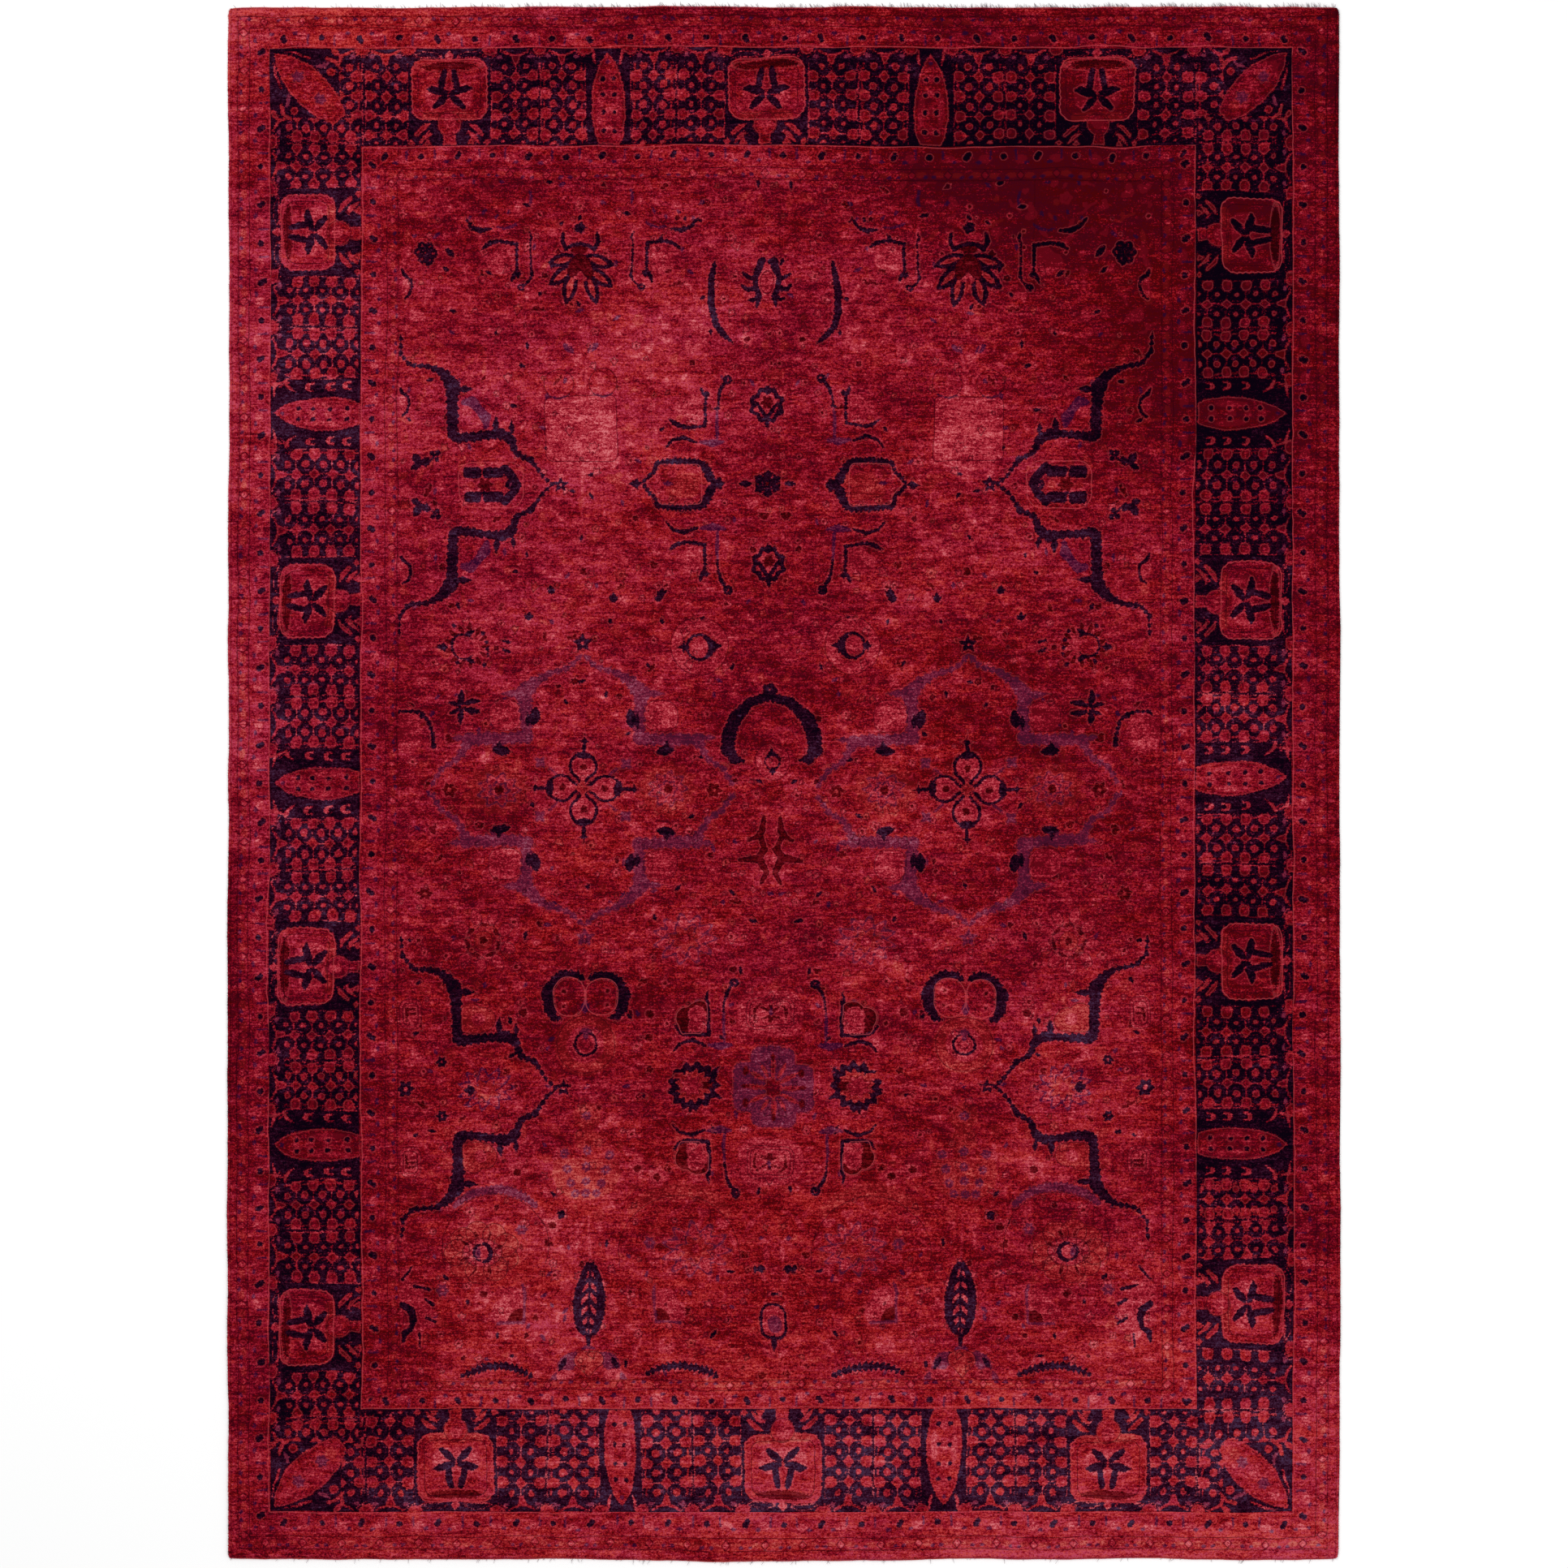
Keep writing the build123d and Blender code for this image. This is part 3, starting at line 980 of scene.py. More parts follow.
def bowl():
    """An ochre bowl of grey-mauve rosettes, with more of them rising above it."""
    body = both(oval(94, 82), moved(block(200, 100), 0, -46))
    rosettes = [(0, -32), (-52, -40), (52, -40), (0, -72), (-42, -78), (42, -78), (-30, -108), (30, -108),
                (0, -108), (0, 10), (-62, 2), (62, 2), (0, 104)]
    shapes = [moved(flower(7, 13, 0.3), x, y) for x, y in rosettes]
    hearts = [moved(disc(4.5), x, y) for x, y in rosettes]
    return Motif(260, ("ochre", moved(either(body, block(180, 70, 14)), 0, -46)),
                 ("ochre", moved(block(70, 60, 26), 0, 40)), ("ochre", moved(disc(36), 0, 104)),
                 ("mauve", either(*shapes)), ("ochre", either(*hearts)))


def arch(wool, width, dip=150.0):
    """A serrated arch, thick at its crown."""
    return Motif(200, (wool, moved(bend(dip + 10, 46, 134, width, teeth=width * 0.3, taper=0.4), 0, -dip)),
                 ("outline", moved(disc(dip - 4), 0, -dip)))


def pale_palmette():
    """A wide palmette of overlapping scales round a navy crescent."""
    scales = [moved(disc(34), 70 * math.cos(a), 52 * math.sin(a)) for a in np.radians(range(20, 380, 40))]
    scale_lines = [("outline", shape) for shape in scales]
    return Motif(180, ("ochre", either(oval(92, 72), *scales)), *scale_lines, ("pink", oval(56, 38)),
                 ("outline", oval(56, 38)), ("navy", bend(24, -90, 90, 12)),
                 ("navy", bend(24, 110, 250, 7)), ("blue", moved(oval(8, 14), -14, 0)),
                 ("dark", around(moved(leaf(24, 6), 0, 40), 8, 20)))


def cypress():
    """A slender serrated tree with a herringbone of leaves, over a vase and its leaves."""
    height, half = 200.0, 42.0

    def body(x, y):
        share = np.clip((y + 6) / (height + 12), 0.001, 0.999)
        saw = 3.2 * ((y / 12) % 1 - 0.5)
        width = half * np.sin(math.pi * share ** 0.8) ** 0.6
        return np.maximum((np.abs(x) - width - saw) * 0.9, np.maximum(-y, y - height))

    def herringbone(x, y):
        inner = (half - 21) * np.sin(math.pi * np.clip(y / height, 0, 1) ** 0.8) ** 0.8
        rung = ((y + np.abs(x) * 1.1) % 32) - 16
        return np.maximum(np.maximum(np.abs(x) - inner, np.abs(rung) - 9), 2.5 - np.abs(x))

    heart = either(moved(disc(24), 16, -66), moved(disc(24), -16, -66),
                   polygon((-38, -74), (38, -74), (0, -118)))
    return Motif(
        330, ("navy", body), ("pink", herringbone), ("pink", stroke((0, 200, 7), (0, 330, 4))),
        ("navy", stroke((0, 0, 12), (0, -26, 7))), ("mauve", twin(moved(leaf(76, 40), 34, -46, -140))),
        ("navy", twin(moved(leaf(40, 14), 60, -60, -150))), ("pink", twin(moved(oval(30, 20), 70, -112))),
        ("ochre", heart), ("outline", heart), ("blue", moved(bend(34, 60, 120, 8), 0, -66)),
        ("mauve", twin(moved(leaf(70, 20), 88, -100, -160))))


def spray():
    """A serrated navy leaf, curved like a feather."""
    return Motif(150, ("navy", moved(bend(190, 59, 119, 19, teeth=13, pitch=15, taper=0.5), 0, -180)))


def edge_palmette():
    """A pink palmette cut off by the field's side, under dark scrolls."""
    scrolls = either(
        stroke((0, 6, 18), (22, -8, 22), (30, -34, 18), (24, -60, 10), (4, -72, 16), (0, -98, 6)),
        stroke((0, 76, 4), (18, 96, 6), (30, 112, 4)), stroke((36, 60, 6), (80, 50, 7)),
        stroke((66, 22, 6), (90, 8, 8)), stroke((70, -30, 7), (94, -44, 6)),
        stroke((48, -76, 6), (48, -110, 4)))
    petals = either(moved(flower(9, 62, 0.25), 40, -20), moved(flower(7, 44, 0.3), 20, 40))
    return Motif(150, ("pink", petals), ("navy", scrolls))


def round_drop():
    """A rounded drop on the axis with a dusty heart."""
    return Motif(90, ("pink", block(72, 90, 28)), ("navy", rim(block(72, 90, 28), 6)),
                 ("mauve", moved(oval(20, 22), 4, -8)), ("navy", moved(kite(8, 24), 0, -58)))


def side_arc():
    """A thin hooked arc on the field's side."""
    return Motif(80, ("pink", moved(oval(10, 26), 2, -6)),
                 ("navy", stroke((-6, 40, 5), (0, 26, 9), (18, 14, 6), (22, -8, 5), (14, -30, 6),
                                 (0, -40, 4))))


def side_cartouche():
    """A pink cartouche against the field's side, with a small maze in it."""
    return Motif(90, ("pink", block(58, 82, 20)), ("outline", block(58, 82, 20)),
                 ("outline", block(40, 60, 12)),
                 ("dark", either(block(26, 4), moved(block(26, 4), 0, 14), moved(block(4, 30), -10, -4))))


def inner_cloud():
    """A pale quarter cloud by a faint bracket."""
    corner = moved(block(200, 200), -101, 101)
    cloud = both(either(moved(disc(36), -32, 62), moved(disc(34), -58, 30), moved(disc(26), -24, 30)),
                 corner)
    return Motif(150, ("pink", cloud), ("dark", both(moved(disc(36), -8, 4), corner)),
                 ("mauve", stroke((-4, 108, 4), (2, 84, 9), (0, 50, 5), (0, 2, 6), (-74, 0, 6))))


# ---------------------------------------------------------------- where the figures stand

def draw_upper_field(c):
    """From the far end down to the stepped medallions."""
    left = FIELD[0]
    c.pair(half_medallion(), left + 17, 821)
    c.pair(step_scroll(), left + 17, 821)
    c.pair(block_palmette(), -800, 821)
    c.four(bird(), -1000, 872, 821, turn=10)
    c.pair(lotus(), -556, 1425)
    for side in (-1, 1):
        c.pair(bracket_cloud(), -556 + side * 180, 1388, flip=(-side, 1))
        c.pair(long_vine(), -556 + side * 140, 1436, flip=(side, 1))
        c.pair(swoosh(), -556 + side * 285, 1533, flip=(-side, 1))
        for x, y in ((60, 1570), (96, 1556), (130, 1572), (170, 1556)):
            c.pair(small_leaf(15, 8), -556 + side * (140 + x), y, turn=side * 30)
        c.pair(line_figure("blue", (0, 40, 4), (4, 20, 8), (0, 0, 4)), -556 + side * 138, 1590)
    c.pair(berry_ring(32), -984, 1463)
    c.pair(small_leaf(36, 14, "navy"), -916, 1466, turn=40)
    c.pair(parenthesis(), -190, 1322)
    c.work(antler_flower(), -46, 1372)
    c.pair(rosette(22, "pink", "dark"), -102, 1221)
    for level in (1374, 1045, 588):
        c.pair(side_arc(), left + 14, level)
    c.pair(vase(), -554, 976)
    c.four(bracket_cloud(), -218, 561, 821)
    c.four(side_stem(), -188, 1016, 821)
    for level in (1042, 604):
        c.work(eye_rosette(), -46, level)
    c.pair(cartouche(), -286, 821)
    c.work(cross_rosette(), -46, 822)
    c.pair(pomegranate(), -234, 379)
    c.pair(seed_palmette(), -880, 378)
    c.pair(star_flower(), -888, 206)
    c.pair(half_dome(), left + 8, 146)
    for x, y in ((-700, 448), (-336, 512), (-470, 498), (-640, 520), (-345, 500)):
        c.pair(bud(24), x, y)
    c.pair(line_figure("pink", (0, 200, 4), (6, 60, 6), (0, 0, 4), (-8, -60, 5)), -556, 700)


def draw_middle_field(c):
    """The dusty medallions and the crescent."""
    for x in (-786, -322):
        c.pair(fan_palmette(92), x, -18)
    c.pair(mauve_medallion(), -554, -20)
    for level in (384, -426):
        c.pair(star_bud("mauve" if level < 0 else "navy"), -553, level)
    c.pair(quatrefoil(), -551, -18)
    c.work(crescent(), -36, 221)
    c.work(pomegranate(22), -36, 61, turn=90)
    c.work(antlers(), -36, -190)
    c.pair(ragged_palmette(86), -829, -433)
    c.pair(jagged_palmette(84), -272, -430)
    for x, y, wool in ((-917, -22, "dark"), (-192, -22, "dark"), (-987, -305, "dark"),
                       (-907, -337, "pink")):
        c.pair(rosette(20, wool, "ochre"), x, y)


def draw_lower_field(c):
    """From the heart-shaped pair down to the near end."""
    left = FIELD[0]
    c.pair(half_medallion(), left + 26, -837)
    c.pair(step_cloud(), left + 23, -837)
    c.pair(jagged_palmette(74, "blue"), -820, -837)
    c.pair(bud(30), -850, -837, turn=90)
    c.pair(line_figure("pink", (-170, 0, 4), (-60, 8, 7), (0, -6, 5), (70, 8, 7), (170, 0, 4)), -450, -837)
    c.four(line_figure("pink", (-40, 70, 4), (0, 40, 8), (60, 10, 5), (90, 0, 4)), -480, -790, -837)
    c.pair(heart_pair(), -545, -592)
    c.pair(ring_bud(), -543, -716)
    c.four(dark_cloud(), -208, -690, -837)
    c.four(side_stem(), -168, -642, -837)
    for level, flip in ((-632, 1), (-1042, -1)):
        c.work(drop_frame(), -36, level, flip=(1, flip))
        c.pair(side_cartouche(), left + 34, level, flip=(1, flip))
    c.pair(rosette(24), left + 20, -837)
    c.four(rosette(15), -940, -761, -837)
    c.work(knot_rosette(), -29, -837)
    c.pair(ring_palmette(), -247, -832)
    c.pair(bowl(), -543, -1020)
    c.pair(arch("mauve", 24), -796, -1124)
    c.pair(arch("ochre", 46, 170), -288, -1132)
    c.pair(pale_palmette(), -832, -1288)
    c.pair(jagged_palmette(92), -240, -1284)
    c.pair(cypress(), -537, -1518)
    for side in (-1, 1):
        c.pair(inner_cloud(), -537 + side * 180, -1486, flip=(-side, 1))
        c.pair(spray(), -537 + side * 256, -1612)
        c.pair(line_figure("pink", (-80, 0, 4), (0, 8, 6), (80, -4, 4)), -537 + side * 130, -1290)
    c.pair(edge_palmette(), left + 6, -1440)
    c.work(round_drop(), -29, -1484)
    for x, y in ((-938, -1392), (-722, -1226), (-366, -1266)):
        c.pair(rosette(17, "mauve", "pink"), x, y)
    for x, y in ((-641, -1219), (-829, -1404), (-736, -1066), (-402, -1062), (-347, -1083), (-719, -631),
                 (-371, -631)):
        c.pair(rosette(30, "pink", "dark", 5), x, y)
    c.pair(bud(26), -609, -1178, turn=150)
    c.pair(bud(26), -67, -1325, turn=200)


def small_figure(rng, wool, size):
    """One of a few faint flowers, leaves and buds."""
    kind = rng.integers(0, 6)
    if kind == 0:
        petals = flower(int(rng.integers(4, 8)), size, 0.45)
        return Motif(size * 1.8, (wool, petals), ("outline", petals), ("dark", disc(size * 0.22)))
    if kind == 1:
        return Motif(size * 2, (wool, moved(leaf(size * 2.6, size * 0.8), 0, -size * 1.3)))
    if kind == 2:
        puff = either(disc(size * 0.7), moved(disc(size * 0.5), size * 0.8, 0),
                      moved(disc(size * 0.5), -size * 0.3, size * 0.8))
        return Motif(size * 2.4, (wool, puff))
    if kind == 3:
        twig = stroke((-size * 1.6, -size * 0.6, 4), (0, 0, 7), (size, -size * 0.2, 5),
                      (size * 1.9, size * 0.6, 4))
        return Motif(size * 2.6, (wool, twig), (wool, moved(disc(size * 0.35), 0, size * 0.5)))
    if kind == 4:
        tulip = either(kite(size * 0.5, size), moved(leaf(size * 1.2, size * 0.4), 0, -size * 0.4, 40),
                       moved(leaf(size * 1.2, size * 0.4), 0, -size * 0.4, -40))
        return Motif(size * 2, (wool, tulip), ("outline", tulip))
    return Motif(size * 1.8, (wool, flower(5, size, 0.2)), (None, disc(size * 0.55)),
                 (wool, disc(size * 0.25)))


def draw_small_flowers(c):
    """Faint vines, flowers and leaves that fill the field, mirrored in its axis."""
    rng = np.random.default_rng(5)
    left, _, near, far = FIELD
    for x0 in np.arange(left + 26, AXIS + 10, 52):
        for y0 in np.arange(near + 26, far - 10, 44):
            x, y = x0 + rng.uniform(-20, 20), y0 + rng.uniform(-16, 16)
            wool = "dark" if rng.random() < 0.06 else rng.choice(["pink", "pink", "pink", "ochre"])
            size = rng.uniform(6, 11) if wool == "dark" else rng.uniform(7, 19)
            c.pair(small_figure(rng, wool, size), x, y, rng.uniform(-60, 60))
            if rng.random() < 0.16:
                c.pair(small_leaf(rng.uniform(14, 24), 8, rng.choice(["navy", "blue"])), x + 20, y,
                       rng.uniform(0, 360))


def draw_field(c):
    draw_small_flowers(c)
    draw_upper_field(c)
    draw_middle_field(c)
    draw_lower_field(c)


# ---------------------------------------------------------------- tone of the dye, with painted sheen and shade

# Each patch is partly real fading of the dye and partly painted sheen and shade of the pile's nap.
# Soft oval patches: x, y, radius across, radius along, and how strong.
DARK_PATCHES = (
    (700, 1640, 420, 230, 0.9), (1300, 1500, 240, 420, 0.7), (1180, 900, 260, 700, 0.45),
    (500, 1700, 380, 160, 0.6), (900, 1100, 380, 520, 0.4), (0, 1960, 700, 120, 0.45),
    (-1250, -900, 260, 420, 0.45), (300, -300, 520, 120, 0.3), (-1000, -560, 420, 110, 0.35),
    (1200, -700, 300, 500, 0.3), (-1525, -450, 40, 600, 0.55), (1525, 0, 40, 1500, 0.35),
    (1525, 1850, 26, 500, 0.45), (0, 2125, 900, 40, 0.5), (1300, 2122, 250, 16, 0.3),
    (1480, -1400, 120, 260, 0.5), (-1300, -1750, 260, 160, 0.35), (-1470, -1700, 70, 420, 0.45),
    (1460, 1900, 80, 420, 0.3), (1460, 300, 70, 500, 0.28), (750, 2070, 800, 60, 0.4),
    (-1400, -2050, 230, 110, 0.4), (1400, 1960, 250, 220, 0.35), (100, 0, 250, 500, 0.18),
    (-1180, 1080, 200, 200, 0.25),
)
PALE_PATCHES = (
    (490, 990, 100, 80, 0.45), (-560, 970, 120, 90, 0.1), (-600, 1000, 500, 260, 0.4),
    (0, -1930, 1500, 220, 0.75), (-1480, 700, 160, 900, 0.45), (-400, 1340, 420, 260, 0.3),
    (1100, -1700, 420, 330, 0.5), (-900, -1560, 420, 240, 0.35), (-1528, 1200, 26, 800, 0.45),
    (1525, -750, 26, 520, 0.36), (1460, -1050, 60, 200, 0.22), (-1000, 560, 300, 200, 0.25),
    (560, 560, 300, 200, 0.2), (-1480, 2060, 420, 130, 0.9), (1430, -2090, 360, 60, 0.5),
    (300, -1150, 500, 140, 0.2), (-1150, 2122, 650, 16, 0.68), (800, -2118, 550, 16, 0.75),
    (-450, -2118, 160, 16, 0.65), (-600, -2070, 260, 50, 0.33), (950, -2070, 260, 50, 0.42),
    (1250, 1350, 150, 150, 0.25),
)


def patchwork(x, y, patches):
    """The strength of all the patches together."""
    return sum(depth * np.exp(-((x - px) / rx) ** 2 - ((y - py) / ry) ** 2)
               for px, py, rx, ry, depth in patches)


def fading_and_painted_shade(x, y):
    """How far the dye has faded, with painted sheen and shade of the nap, from about -1, deep, to 1, pale.
    """
    tone = 0.26 * wander(x, y, 900, 21) + 0.2 * wander(x, y * 2.2, 380, 22)
    tone += 0.16 * wander(x, y * 1.6, 130, 23) + 0.12 * wander(x * 0.8, y * 1.5, 55, 24)
    tone += 0.10 * wander(x * 0.12, y, 46, 25) * (0.5 + 0.5 * wander(x, y, 500, 26))
    return tone + patchwork(x, y, PALE_PATCHES) - patchwork(x, y, DARK_PATCHES)


# Where the red leans towards magenta, or towards scarlet where the strength is below nothing.
COOL_PATCHES = (
    (-1150, 500, 420, 900, 0.35), (-300, 1150, 500, 400, 0.2), (-1480, 0, 160, 2100, 0.25),
    (1150, 300, 400, 700, 0.15), (0, -1500, 1000, 420, -0.35), (-500, -800, 500, 500, -0.15),
    (700, 100, 500, 500, -0.12), (-1150, 2050, 500, 200, -0.3),
)


def dye_coolness(x, y):
    """How far the red leans from scarlet towards magenta."""
    cool = 0.14 * wander(x, y, 800, 41) + 0.16 * wander(x * 0.6, y * 2, 300, 42)
    return cool + 0.12 * wander(x, y * 1.5, 90, 43) + patchwork(x, y, COOL_PATCHES)


# ---------------------------------------------------------------- shading kit

class Value:
    """A socket that can be used in plain sums."""

    def __init__(self, shader, socket):
        self.shader, self.socket = shader, socket

    def _math(self, operation, *others, clamp=False):
        return self.shader.node("ShaderNodeMath", dict(operation=operation, use_clamp=clamp), self, *others)

    def __add__(self, other):
        return self._math("ADD", other)

    def __sub__(self, other):
        return self._math("SUBTRACT", other)

    def __rsub__(self, other):
        return self * -1.0 + other

    def __mul__(self, other):
        return self._math("MULTIPLY", other)

    def __truediv__(self, other):
        return self._math("DIVIDE", other)

    __radd__ = __add__
    __rmul__ = __mul__

    def size(self):
        return self._math("ABSOLUTE")

    def clamped(self):
        return self._math("ADD", 0.0, clamp=True)

    def least(self, other):
        return self._math("MINIMUM", other)

    def most(self, other):
        return self._math("MAXIMUM", other)

    def beside(self, output):
        """Another output of the same node."""
        return Value(self.shader, self.socket.node.outputs[output])


class Shader:
    """One material and its nodes."""

    def __init__(self, name):
        self.material = bpy.data.materials.new(name)
        self.material.use_nodes = True
        self.tree = self.material.node_tree
        self.surface = self.tree.nodes["Principled BSDF"]

    def node(self, kind, settings, *inputs, output=0, **named):
        """A node of one type, its settings made first, then the values or links of its sockets."""
        made = self.tree.nodes.new(kind)
        for key, value in settings.items():
            setattr(made, key, value)
        for key, value in [*enumerate(inputs), *named.items()]:
            self.put(made.inputs[key], value)
        return Value(self, made.outputs[output])

    def put(self, socket, value):
        if isinstance(value, Value):
            self.tree.links.new(value.socket, socket)
        elif isinstance(value, tuple) and len(value) == 3 and socket.type == "RGBA":
            socket.default_value = (*value, 1.0)
        else:
            socket.default_value = value

    def attribute(self, name):
        """What the mesh keeps under a name, at each point."""
        return self.node("ShaderNodeAttribute", dict(attribute_name=name), output="Fac")

    def place(self, scale):
        """Object coordinates in features per metre, which may differ by direction."""
        where = self.node("ShaderNodeTexCoord", {}, output="Object")
        return self.node("ShaderNodeVectorMath", dict(operation="MULTIPLY"), where, scale)

    def noise(self, scale, detail, roughness):
        return self.node("ShaderNodeTexNoise", dict(noise_dimensions="3D"), Vector=self.place(scale),
                         Scale=1.0, Detail=detail, Roughness=roughness)

    def mix(self, factor, a, b, blend="MIX"):
        """A colour between two others."""
        made = self.tree.nodes.new("ShaderNodeMix")
        made.data_type = "RGBA"
        made.blend_type = blend
        for socket, value in zip((made.inputs["Factor"], made.inputs[6], made.inputs[7]), (factor, a, b)):
            self.put(socket, value)
        return Value(self, made.outputs[2])

    def finish(self, **sockets):
        """Fills the surface's own sockets, named with underscores, and gives the material."""
        for name, value in sockets.items():
            self.put(self.surface.inputs[name.replace("_", " ")], value)
        return self.material


# Colours come out this much brighter than their swatches under the studio's lights.
STUDIO = 1.12


def dye(red, green, blue):
    """A colour as a swatch card gives it, 0 to 255, as the light of this studio shows it."""
    shares = [c / 255 for c in (red, green, blue)]
    return tuple((v / 12.92 if v <= 0.04 else ((v + 0.055) / 1.055) ** 2.4) / STUDIO for v in shares)


# The warm and the cool red ground, and each wool, from its deepest knots to its palest.
WARM_GROUND = (dye(74, 2, 5), dye(202, 77, 69))
COOL_GROUND = (dye(66, 2, 18), dye(187, 65, 93))
PALETTE = {
    "pink": (dye(98, 6, 20), dye(222, 124, 128)),
    "ochre": (dye(96, 10, 14), dye(206, 110, 96)),
    "dark": (dye(30, 0, 2), dye(104, 14, 24)),
    "blue": (dye(30, 6, 40), dye(110, 84, 116)),
    "mauve": (dye(66, 15, 40), dye(150, 94, 118)),
    "navy": (dye(8, 0, 12), dye(68, 46, 74)),
}
# How fully each wool covers the ground that it is worked into.
STRENGTH = {"pink": 0.78, "ochre": 0.72, "dark": 0.8, "blue": 0.78, "mauve": 0.9, "navy": 1.0}


def wool_pile(name, tone_and_painted_light=0.0, grain=1.0, plain=False):
    """Overdyed wool: the cartoon's wools and lines, knot by knot, or the plain ground alone."""
    s = Shader(name)
    knots = s.node("ShaderNodeTexVoronoi", dict(feature="F1"), Vector=s.place((400, 400, 400)), Scale=1.0,
                   Randomness=0.9, output="Color")
    knot = s.node("ShaderNodeSeparateColor", {}, knots)
    mottle = s.noise((20, 42, 30), 5.0, 0.86)
    tuft = s.noise((110, 170, 100), 2.0, 0.7)
    streak = s.noise((16, 210, 60), 3.0, 0.7)
    lean = s.noise((10, 52, 9), 4.0, 0.75)
    wobble = (mottle - 0.5) * 6.0 + (knot - 0.5) * 2.4 + (tuft - 0.5) * 5.0
    # The lift of tone for a whole material: a small real tone for the bands, and painted light for the
    # bound sides and the woven ends, made paler to hide the shade that falls on them.
    tone = s.attribute("tone") * 0.42 + tone_and_painted_light
    light = (mottle - 0.5) * 2.1 + (tuft - 0.5) * 1.5 + (knot - 0.5) * 0.55 + (streak - 0.5) * 1.15
    light = light * grain + tone + 0.3
    cool = ((knot.beside(2) - 0.5) * 1.1 + (lean - 0.5) * 2.4 + s.attribute("cool") + 0.5).clamped()
    deep = s.mix(cool, WARM_GROUND[0], COOL_GROUND[0])
    pale = s.mix(cool, WARM_GROUND[1], COOL_GROUND[1])
    for wool, (low, high) in () if plain else PALETTE.items():
        mask = (0.5 - (s.attribute(wool) + wobble - 1.2) / 1.8).clamped() * STRENGTH[wool]
        deep = s.mix(mask, deep, low)
        pale = s.mix(mask, pale, high)
    light = light.clamped()
    pale = s.mix(1.0 - light * light, pale, (1.0, 0.02, 0.2), blend="MULTIPLY")
    colour = s.mix(light, deep, pale)
    height = knots.beside("Distance") * -0.5 + mottle * 0.8 + tuft * 0.8
    bump = s.node("ShaderNodeBump", {}, Strength=0.6, Distance=0.0016, Height=height)
    if plain:
        return s.finish(Base_Color=colour, Roughness=0.95, Normal=bump, Specular_IOR_Level=0.02)
    edge = s.attribute("navy").least(s.attribute("dark")).least(s.attribute("mauve")) + wobble * 0.5
    edge = (1.0 - (edge - 3.8).size() / 1.7).clamped() * 0.24
    bright = (1.0 - ((s.attribute("bright") + wobble * 0.2).size() - 0.6) / 1.2).clamped() * 0.4
    colour = s.mix(edge.most(bright), colour, dye(206, 76, 84))
    thin = (1.0 - ((s.attribute("outline") + wobble * 0.2).size() - 0.7) / 1.0).clamped()
    colour = s.mix(thin * 0.66, colour, dye(40, 0, 12))
    return s.finish(Base_Color=colour, Roughness=0.95, Normal=bump, Specular_IOR_Level=0.02)


# ---------------------------------------------------------------- pile pieces

# Height of the upper row of a pile block's walls, and how much lower the corroded navy wool lies.
SHOULDER = 1.5
NAVY_WEAR = 0.5


def new_object(name, bm, material):
    mesh = bpy.data.meshes.new(name)
    bm.to_mesh(mesh)
    bm.free()
    made = bpy.data.objects.new(name, mesh)
    bpy.context.scene.collection.objects.link(made)
    mesh.materials.append(material)
    return made


def coordinates(mesh):
    flat = np.empty(len(mesh.vertices) * 3, np.float32)
    mesh.vertices.foreach_get("co", flat)
    return flat.reshape(-1, 3).astype(float)


def store(mesh, name, values):
    layer = mesh.attributes.new(name, "FLOAT", "POINT")
    layer.data.foreach_set("value", values.astype(np.float32))


def slab_mesh(bounds, level, step, drops):
    """A closed slab: a fine grid at one level, walls with a row for each drop, and one last face."""
    left, right, near, far = bounds
    width, length = right - left, far - near
    bm = bmesh.new()
    place = Matrix.Translation(((left + right) / 2 * MM, (near + far) / 2 * MM, level * MM))
    place = place @ Matrix.Diagonal((width / 2 * MM, length / 2 * MM, 1, 1))
    bmesh.ops.create_grid(bm, x_segments=max(2, round(width / step)),
                          y_segments=max(2, round(length / step)), size=1.0, matrix=place)
    rim_edges = [e for e in bm.edges if e.is_boundary]
    for drop in drops:
        made = bmesh.ops.extrude_edge_only(bm, edges=rim_edges)["geom"]
        moved_points = [v for v in made if isinstance(v, bmesh.types.BMVert)]
        rim_edges = [e for e in made if isinstance(e, bmesh.types.BMEdge) and e.is_boundary]
        bmesh.ops.translate(bm, verts=moved_points, vec=(0, 0, -drop * MM))
    bmesh.ops.contextual_create(bm, geom=rim_edges)
    bmesh.ops.recalc_face_normals(bm, faces=bm.faces)
    return bm


def store_layers(mesh, layers):
    for name, values in layers.items():
        store(mesh, name, np.clip(values, -FAR, FAR))


def store_tone_and_coolness(mesh, x, y, tone_scale=1.0):
    """Keep how faded the dye is, with its painted sheen and shade, and how cool it is, where each point
    lies.
    """
    store(mesh, "tone", fading_and_painted_shade(x, y) * tone_scale)
    store(mesh, "cool", dye_coolness(x, y))


def settle(piece, node, slot):
    """Ride the piece on the rug's one body, in place of its own node."""
    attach(piece, "root")
    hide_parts(node)
    return piece


